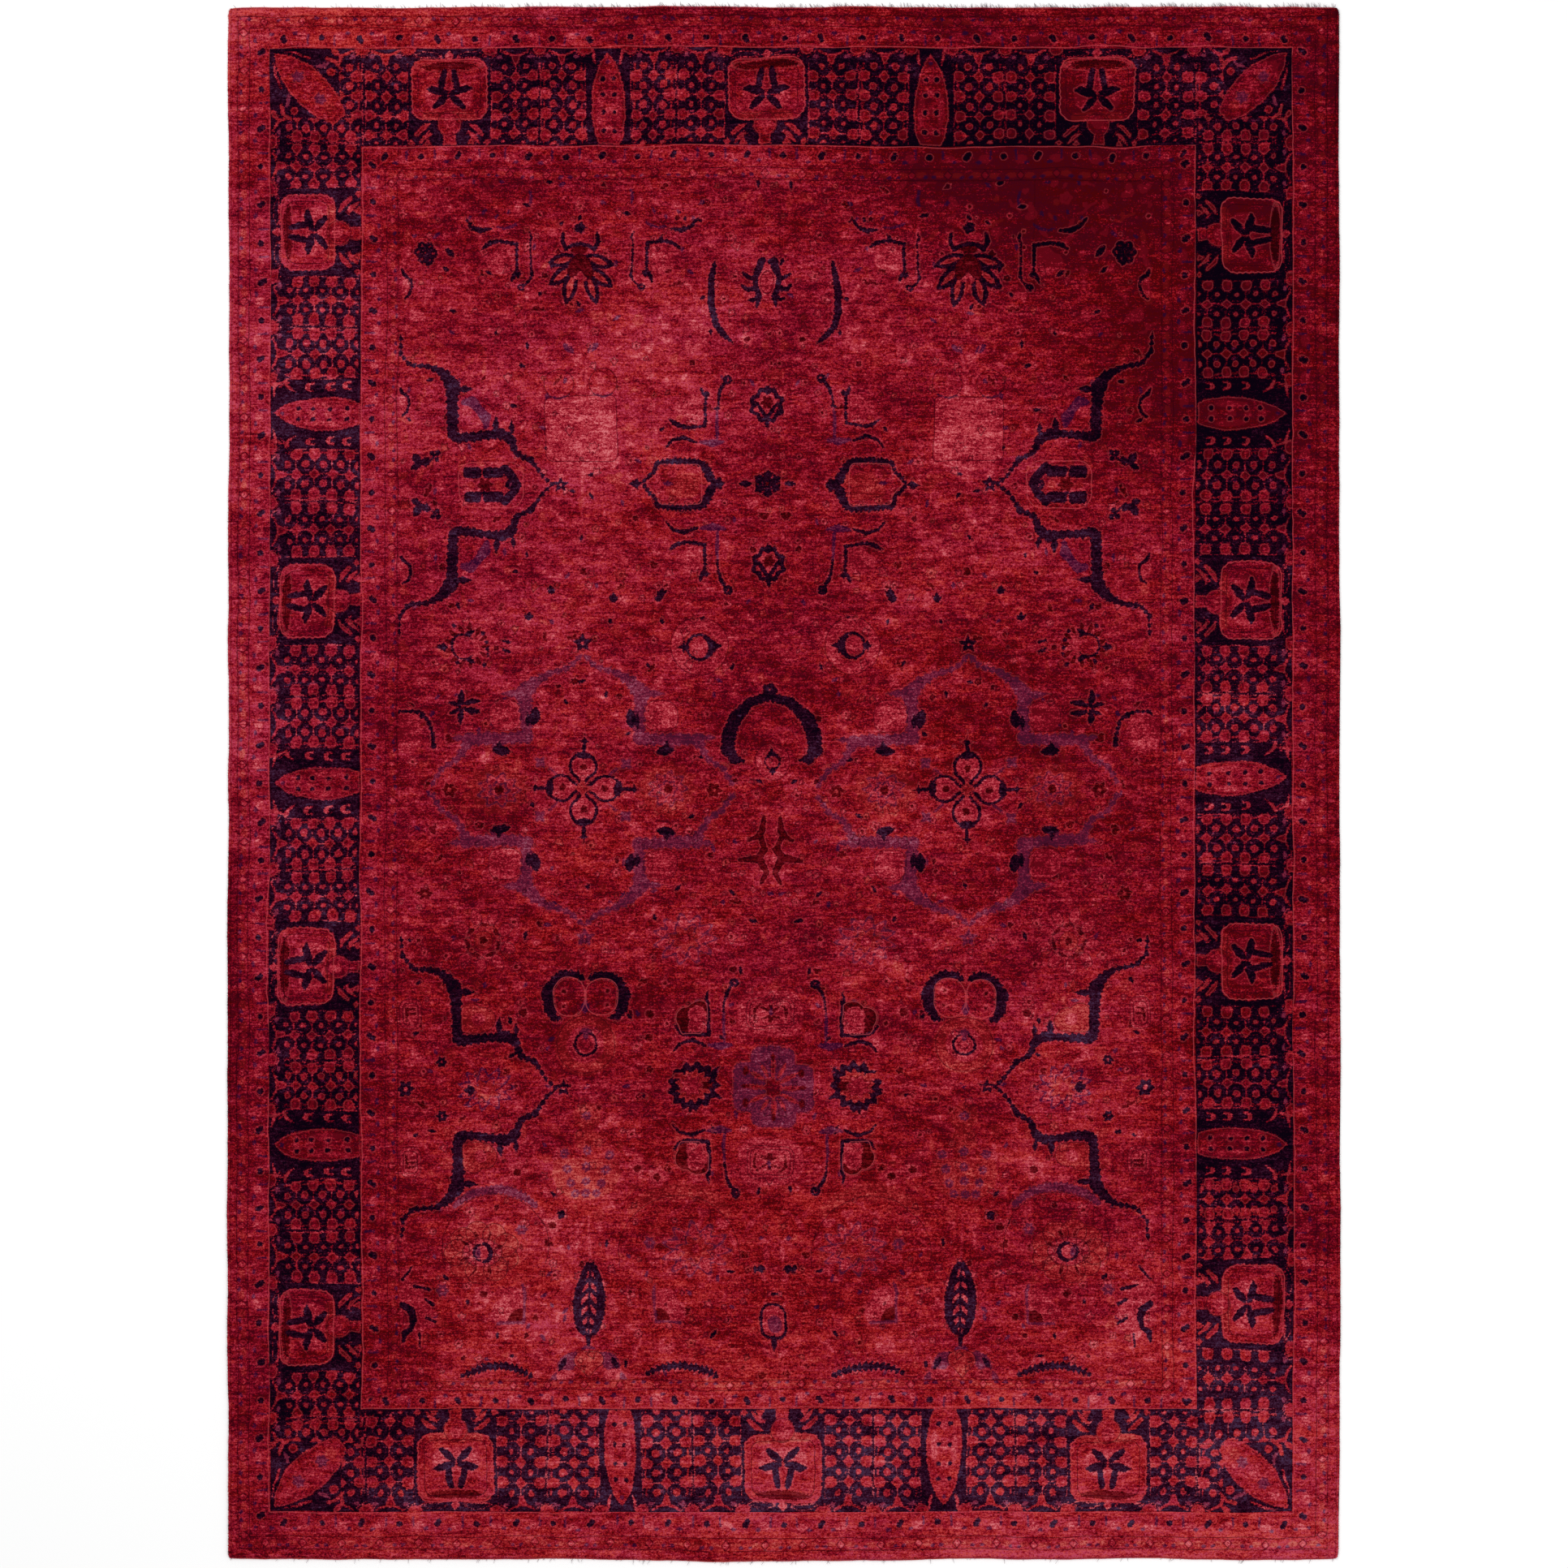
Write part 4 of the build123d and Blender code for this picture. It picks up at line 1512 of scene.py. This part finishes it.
def pile_piece(node, step, draw, material, slot):
    """One block of pile: its cartoon, and its dye with painted sheen and shade, at each point, and a
    surface that isn't quite level.
    """
    bm = slab_mesh(span(node), PILE_TOP, step, (SHOULDER, PILE_TOP - PILE_LOW - SHOULDER))
    piece = new_object(node.replace("pile", "wool") if "pile" in node else f"{node}_wool", bm, material)
    mesh = piece.data
    at = coordinates(mesh)
    x, y = at[:, 0] / MM, at[:, 1] / MM
    cartoon = Cartoon(x, y)
    if draw:
        draw(cartoon)
    store_layers(mesh, cartoon.layers)
    store_tone_and_coolness(mesh, x, y)
    top = at[:, 2] > (PILE_TOP - 0.5) * MM
    sunk = np.clip(0.5 - cartoon.layers["navy"] / 3.0, 0, 1) * NAVY_WEAR
    lift = 0.35 * wander(x, y, 34, 31) + 0.3 * wander(x, y, 13, 32) + 0.3 * wander(x, y, 300, 33) - sunk
    swayed_x, swayed_y = sway(x, y)
    at[:, 0], at[:, 1] = swayed_x * MM, swayed_y * MM
    at[top, 2] += lift[top] * MM
    mesh.vertices.foreach_set("co", at.ravel())
    mesh.update()
    mesh.shade_smooth()
    return settle(piece, node, slot)


def make_pile():
    """The field in its strips, and the four bands round it, side by side."""
    field_wool = wool_pile("field_wool")
    border_wool = wool_pile("border_wool", -0.04)
    guard_wool = wool_pile("guard_wool", 0.03)
    edge_wool = wool_pile("edge_wool", 0.06, plain=True)
    pieces = [pile_piece(node, 4.35, draw_field, field_wool, "field_pile") for node in STRIPS]
    plans = {
        "inner_guard": (4.1, draw_inner_guard, guard_wool, "guard_pile"),
        "main_border": (4.6, draw_main_border, border_wool, "border_pile"),
        "outer_guard": (4.1, draw_outer_guard, guard_wool, "guard_pile"),
        "edge_stripe": (6.0, None, edge_wool, "edge_pile"),
    }
    for band, plan in plans.items():
        pieces += [pile_piece(f"{band}_{side}", *plan) for side in SIDES]
    return pieces


# ---------------------------------------------------------------- bound sides, ends and back

# The ground cloth steps up this far from each end, over a hem of this thickness.
HEM_STEP = 35.0
HEM_THICKNESS = 1.52
# The woven end's outline, outward from the hem's inner edge and up from the floor. The lip
# stands beyond the hem.
WOVEN_SECTION = (
    (0.2, 0.1), (0.1, 1.2), (6, 1.4), (18, 1.4), (29.6, 1.4), (30.2, 2.6), (30.3, 4.2), (31.4, 4.9),
    (32.6, 4.2), (33, 2.6), (32.6, 1.0), (31, 0.1), (16, 0.0))
STITCH_PITCH = 24.0
WOVEN_DEPTH = 33
LIP_START = 30


def yarn(name, deep, pale, ridge):
    """Wound, twisted or woven yarn, with fine fibres running across the ridges."""
    s = Shader(name)
    grain = s.noise(ridge, 3.0, 0.7)
    patch = s.noise((14, 14, 14), 3.0, 0.6)
    fine = s.noise((1400, 1400, 1400), 1.0, 0.5)
    light = ((grain - 0.5) * 1.6 + (patch - 0.5) * 1.2 + (fine - 0.5) * 0.6 + 0.5).clamped()
    bump = s.node("ShaderNodeBump", {}, Strength=0.5, Distance=0.0006, Height=grain + fine)
    return s.finish(Base_Color=s.mix(light, deep, pale), Roughness=0.92, Normal=bump,
                    Specular_IOR_Level=0.05)


def close_up(mesh):
    """Weld the seam of a tube made from a grid, and close its ends."""
    bm = bmesh.new()
    bm.from_mesh(mesh)
    bmesh.ops.remove_doubles(bm, verts=bm.verts, dist=0.00001)
    bmesh.ops.holes_fill(bm, edges=[e for e in bm.edges if e.is_boundary], sides=0)
    bmesh.ops.recalc_face_normals(bm, faces=bm.faces)
    bm.to_mesh(mesh)
    bm.free()
    mesh.update()
    at = coordinates(mesh) / MM
    store_tone_and_coolness(mesh, at[:, 0], at[:, 1])


def swept(name, length, rows, section, along, centre, material, corners=10):
    """A closed yarn: a section, given by turn and run, swept along x or y and swayed with the pile.

    section(turn, run) gives how far across and how high the skin lies from the centre, in mm.
    """
    bm = bmesh.new()
    place = Matrix.Translation((0.5, 0.5, 0)) @ Matrix.Scale(0.5, 4)
    bmesh.ops.create_grid(bm, x_segments=corners, y_segments=rows, size=1.0, matrix=place)
    made = new_object(name, bm, material)
    at = coordinates(made.data)
    turn, run = at[:, 0] * 2 * math.pi, (at[:, 1] - 0.5) * length
    across, height = section(turn, run)
    if along == "y":
        x, y = centre[0] + across, run
    else:
        x, y = run, centre[0] + across
    swayed = sway(x, y)
    at = np.column_stack((swayed[0], swayed[1], np.maximum(centre[1] + height, 0))) * MM
    made.data.vertices.foreach_set("co", at.ravel())
    close_up(made.data)
    made.data.shade_smooth()
    return made


def bound_side(name, side, wrap_yarn_painted_light, core_yarn):
    """One long side: the core of warps, and the yarn wound round it."""
    low_x, high_x, low_y, high_y = span(f"selvedge_wrap_{name}")
    high_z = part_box(f"selvedge_wrap_{name}")[1].z / MM
    middle, half, length = (low_x + high_x) / 2, (high_x - low_x) / 2, high_y - low_y
    pitch = 9.0

    def wound(turn, run):
        """Round outside, where the laps stand proud, and square against the pile."""
        lie = 0.8 * wander(run, run * 0, 90, 51 + side)
        lap = ((run + turn * pitch / 7 + lie) / pitch) % 1
        ridge = np.sin(math.pi * lap) ** 0.7 * 0.9 - 0.7
        ridge = ridge + 0.3 * wander(run, turn * 20, 36, 53 + side)
        square = np.maximum(np.abs(np.cos(turn)), np.abs(np.sin(turn))) ** -0.55
        reach = (half + ridge) * np.where(np.cos(turn) * side > 0.2, 1.0, square)
        outward = np.clip(np.cos(turn) * side * reach, -half, half + 0.4)
        return outward * side, np.sin(turn) * reach

    def warps(turn, run):
        reach = 1.9 + 0.28 * np.cos(5 * (turn + run / 26))
        return np.cos(turn) * reach, np.sin(turn) * reach

    centre = (middle, high_z / 2)
    wrap = swept(f"selvedge_yarn_{name}", length, 2130, wound, "y", centre, wrap_yarn_painted_light)
    core = swept(f"selvedge_warps_{name}", length, 700, warps, "y", centre, core_yarn)
    return [settle(wrap, f"selvedge_wrap_{name}", "selvedge_yarn"),
            settle(core, f"selvedge_core_{name}", "warp_cord")]


def twined_row(name, material):
    """Two plies twined round each other past the last row of knots."""
    low_x, high_x, low_y, high_y = span(f"lock_row_{name}")
    base, top = (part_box(f"lock_row_{name}")[i].z / MM for i in (0, 1))

    def plies(turn, run):
        reach = 0.66 + 0.34 * np.cos(2 * (turn + run * math.pi / 7))
        return np.cos(turn) * reach * 1.1, np.sin(turn) * reach

    centre = ((low_y + high_y) / 2, (base + top) / 2)
    row = swept(f"twined_row_{name}", high_x - low_x, 1700, plies, "x", centre, material)
    return settle(row, f"lock_row_{name}", "lock_yarn")


def woven_end(name, end, material):
    """The plain-woven end: a rounded lip outside and a hem folded in under the cloth."""
    low_x, high_x, low_y, high_y = span(f"turned_end_{name}")
    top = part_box(f"turned_end_{name}")[1].z / MM
    inner = max(abs(low_y), abs(high_y)) - WOVEN_DEPTH
    bm = bmesh.new()
    place = Matrix.Translation((0, 0.5, 0)) @ Matrix.Diagonal((1, 0.5, 1, 1))
    bmesh.ops.create_grid(bm, x_segments=1010, y_segments=len(WOVEN_SECTION), size=1.0, matrix=place)
    made = new_object(f"woven_end_{name}", bm, material)
    at = coordinates(made.data)
    x = at[:, 0] * (high_x - low_x) / 2
    corner = np.round(at[:, 1] * len(WOVEN_SECTION)).astype(int) % len(WOVEN_SECTION)
    out, high = np.array(WOVEN_SECTION)[corner].T
    weft = 0.16 * np.sin(x * math.pi / 3 + corner * math.pi) + 0.25 * wander(x, x * 0, 40, 61)
    weft = np.where(out > LIP_START, weft, 0)
    swayed_x, swayed_y = sway(x, end * (inner + out + weft * (out - LIP_START) / (WOVEN_DEPTH - LIP_START)))
    high = np.where(high > 1, high + weft, high)
    at = np.column_stack((swayed_x, swayed_y, np.minimum(high, top))) * MM
    made.data.vertices.foreach_set("co", at.ravel())
    close_up(made.data)
    return settle(made, f"turned_end_{name}", "turned_end")


def sewn_stitches(name, end, material):
    """Short stitches, a little uneven, that hold the hem to the back of the cloth."""
    low_x, high_x, low_y, high_y = span(f"hem_stitches_{name}")
    rng = np.random.default_rng(71 + end)
    bm = bmesh.new()
    for x in np.arange(low_x + 1, high_x, STITCH_PITCH):
        swayed_x, swayed_y = sway(x, (low_y + high_y) / 2 + rng.uniform(-0.3, 0.3))
        place = Matrix.Translation((swayed_x * MM, swayed_y * MM, 0.75 * MM))
        place = place @ Matrix.Rotation(rng.uniform(-0.25, 0.25), 4, "Z")
        place = place @ Matrix.Diagonal((0.9 * MM, 1.9 * MM, 0.74 * MM, 1))
        bmesh.ops.create_uvsphere(bm, u_segments=8, v_segments=5, radius=1.0, matrix=place)
    made = new_object(f"hem_thread_{name}", bm, material)
    made.data.shade_smooth()
    return settle(made, f"hem_stitches_{name}", "hem_thread")


def fibre(bm, place, reach, thick, thin, corners):
    """A tapered fibre that stands up from its place."""
    middle = place @ Matrix.Translation((0, 0, reach * MM / 2))
    bmesh.ops.create_cone(bm, segments=corners, radius1=thick * MM, radius2=thin * MM, depth=reach * MM,
                          cap_ends=True, matrix=middle)


def loose_fibres(name, end, count, crowd, material):
    """Pale ends of warp and wool that stand out past a turned end, crowded to one side."""
    low_x, high_x, low_y, high_y = span(f"turned_end_{name}")
    edge = end * max(abs(low_y), abs(high_y))
    rng = np.random.default_rng(81 + end)
    bm = bmesh.new()
    for _ in range(count):
        x = low_x + (high_x - low_x) * rng.random() ** crowd
        reach = rng.uniform(5.0, 14.5)
        root_x, root_y = sway(x, edge)
        tilt = Matrix.Rotation(-end * (math.pi / 2 - rng.uniform(0.0, 0.3)), 4, "X")
        place = Matrix.Translation((root_x * MM, (root_y - end * 1.2) * MM, rng.uniform(2.4, 4.6) * MM))
        place = place @ Matrix.Rotation(end * rng.normal(0.45, 0.4), 4, "Z") @ tilt
        fibre(bm, place, reach, 0.6, 0.35, 4)
    made = new_object(f"loose_fibres_{name}", bm, material)
    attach(made, "root")
    return made


def side_fuzz(name, side, material):
    """Short wool that stands out of the bound side."""
    low_x, high_x, low_y, high_y = span(f"selvedge_wrap_{name}")
    edge = side * max(abs(low_x), abs(high_x))
    rng = np.random.default_rng(91 + side)
    bm = bmesh.new()
    for _ in range(1500):
        y, reach = rng.uniform(low_y, high_y), rng.uniform(1.5, 4.0)
        root_x, root_y = sway(edge, y)
        tilt = Matrix.Rotation(side * (math.pi / 2 - rng.uniform(-0.2, 0.6)), 4, "Y")
        place = Matrix.Translation(((root_x - side * 1.4) * MM, root_y * MM, rng.uniform(3.0, 6.4) * MM))
        place = place @ Matrix.Rotation(rng.normal(0, 0.5), 4, "Z") @ tilt
        fibre(bm, place, reach, 0.7, 0.25, 3)
    made = new_object(f"side_fuzz_{name}", bm, material)
    at = coordinates(made.data) / MM
    store_tone_and_coolness(made.data, at[:, 0], at[:, 1])
    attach(made, "root")
    return made


def knotted_back(material):
    """The ground cloth, with the same design showing on its back as rows of knots."""
    low_z, high_z = (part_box("ground_cloth")[i].z / MM for i in (0, 1))
    piece = new_object("woven_ground", slab_mesh(span("ground_cloth"), low_z, 13.6, (low_z - high_z,)),
                       material)
    mesh = piece.data
    at = coordinates(mesh)
    x, y = at[:, 0] / MM, at[:, 1] / MM
    layers = {name: np.full(len(x), FAR) for name in WOOLS + LINES}
    zones = ((FIELD, None, draw_field), (INNER_GUARD, FIELD, draw_inner_guard),
             (MAIN_BORDER, INNER_GUARD, draw_main_border), (OUTER_GUARD, MAIN_BORDER, draw_outer_guard))
    for outer, inner, draw in zones:
        zone = within(x, y, outer)
        if inner is not None:
            zone &= ~within(x, y, inner)
        cartoon = Cartoon(x[zone], y[zone])
        draw(cartoon)
        for name, values in cartoon.layers.items():
            layers[name][zone] = values
    store_layers(mesh, layers)
    store_tone_and_coolness(mesh, x, y, 0.5)
    under_hem = (np.abs(y) > np.max(y) - HEM_STEP) & (at[:, 2] < (low_z + 0.5) * MM)
    swayed_x, swayed_y = sway(x, y)
    at[:, 0], at[:, 1] = swayed_x * MM, swayed_y * MM
    at[under_hem, 2] = (low_z + HEM_THICKNESS) * MM
    mesh.vertices.foreach_set("co", at.ravel())
    mesh.update()
    return settle(piece, "ground_cloth", "ground_cloth")


def make_edges():
    # The bound sides' wool and the woven ends are painted lighter: painted light over the shade that falls
    # on them below the pile's top.
    wrap_yarn_painted_light = wool_pile("selvedge_wool", 0.14, 0.9, plain=True)
    end_yarn_painted_light = wool_pile("end_weave_painted_light", 0.6, 0.8, plain=True)
    warp_cotton = yarn("warp_cotton", dye(120, 60, 60), dye(196, 150, 140), (500, 60, 500))
    pale_fibre = yarn("loose_warp", dye(110, 94, 100), dye(176, 162, 168), (300, 300, 300))
    pieces = []
    for name, side in (("left", -1), ("right", 1)):
        pieces += bound_side(name, side, wrap_yarn_painted_light, warp_cotton)
        pieces.append(side_fuzz(name, side, wrap_yarn_painted_light))
    for name, end, count, crowd in (("near", -1, 90, 1.0), ("far", 1, 680, 0.6)):
        pieces.append(twined_row(name, end_yarn_painted_light))
        pieces.append(woven_end(name, end, end_yarn_painted_light))
        pieces.append(sewn_stitches(name, end, warp_cotton))
        pieces.append(loose_fibres(name, end, count, crowd, pale_fibre))
    return pieces


# ---------------------------------------------------------------- camera, light and floor

def set_stage():
    camera = bpy.data.objects.new("camera", bpy.data.cameras.new("camera"))
    bpy.context.scene.collection.objects.link(camera)
    camera.data.lens = 85.0
    camera.data.sensor_width = 36.0
    view_width = 4.312
    camera.location = (0.0, -0.002,
                       PILE_TOP * MM + view_width * camera.data.lens / camera.data.sensor_width)
    camera.data.clip_end = 100.0
    bpy.context.scene.camera = camera

    bm = bmesh.new()
    bmesh.ops.create_grid(bm, x_segments=1, y_segments=1, size=14.0)
    s = Shader("floor_paint")
    floor = new_object("floor", bm,
                       s.finish(Base_Color=(0.95, 0.95, 0.95), Roughness=0.9, Specular_IOR_Level=0.0))

    world = bpy.data.worlds.new("studio")
    world.use_nodes = True
    world.node_tree.nodes["Background"].inputs["Color"].default_value = (1, 1, 1, 1)
    world.node_tree.nodes["Background"].inputs["Strength"].default_value = 0.66
    bpy.context.scene.world = world
    for name, place, power in (("key_light", (-3.5, 4.0, 7.0), 280.0),
                               ("fill_light", (4.0, -3.0, 7.0), 190.0)):
        lamp = bpy.data.lights.new(name, "AREA")
        lamp.size = 4.0
        lamp.energy = power
        made = bpy.data.objects.new(name, lamp)
        bpy.context.scene.collection.objects.link(made)
        made.location = place
        made.rotation_euler = (-Vector(place)).to_track_quat("-Z", "Y").to_euler()
    bpy.context.scene.view_settings.view_transform = "Standard"


set_stage()
pile_pieces = make_pile()
edge_pieces = make_edges()
ground = knotted_back(wool_pile("knot_backs", -0.05, 0.7))
pile_pieces + edge_pieces
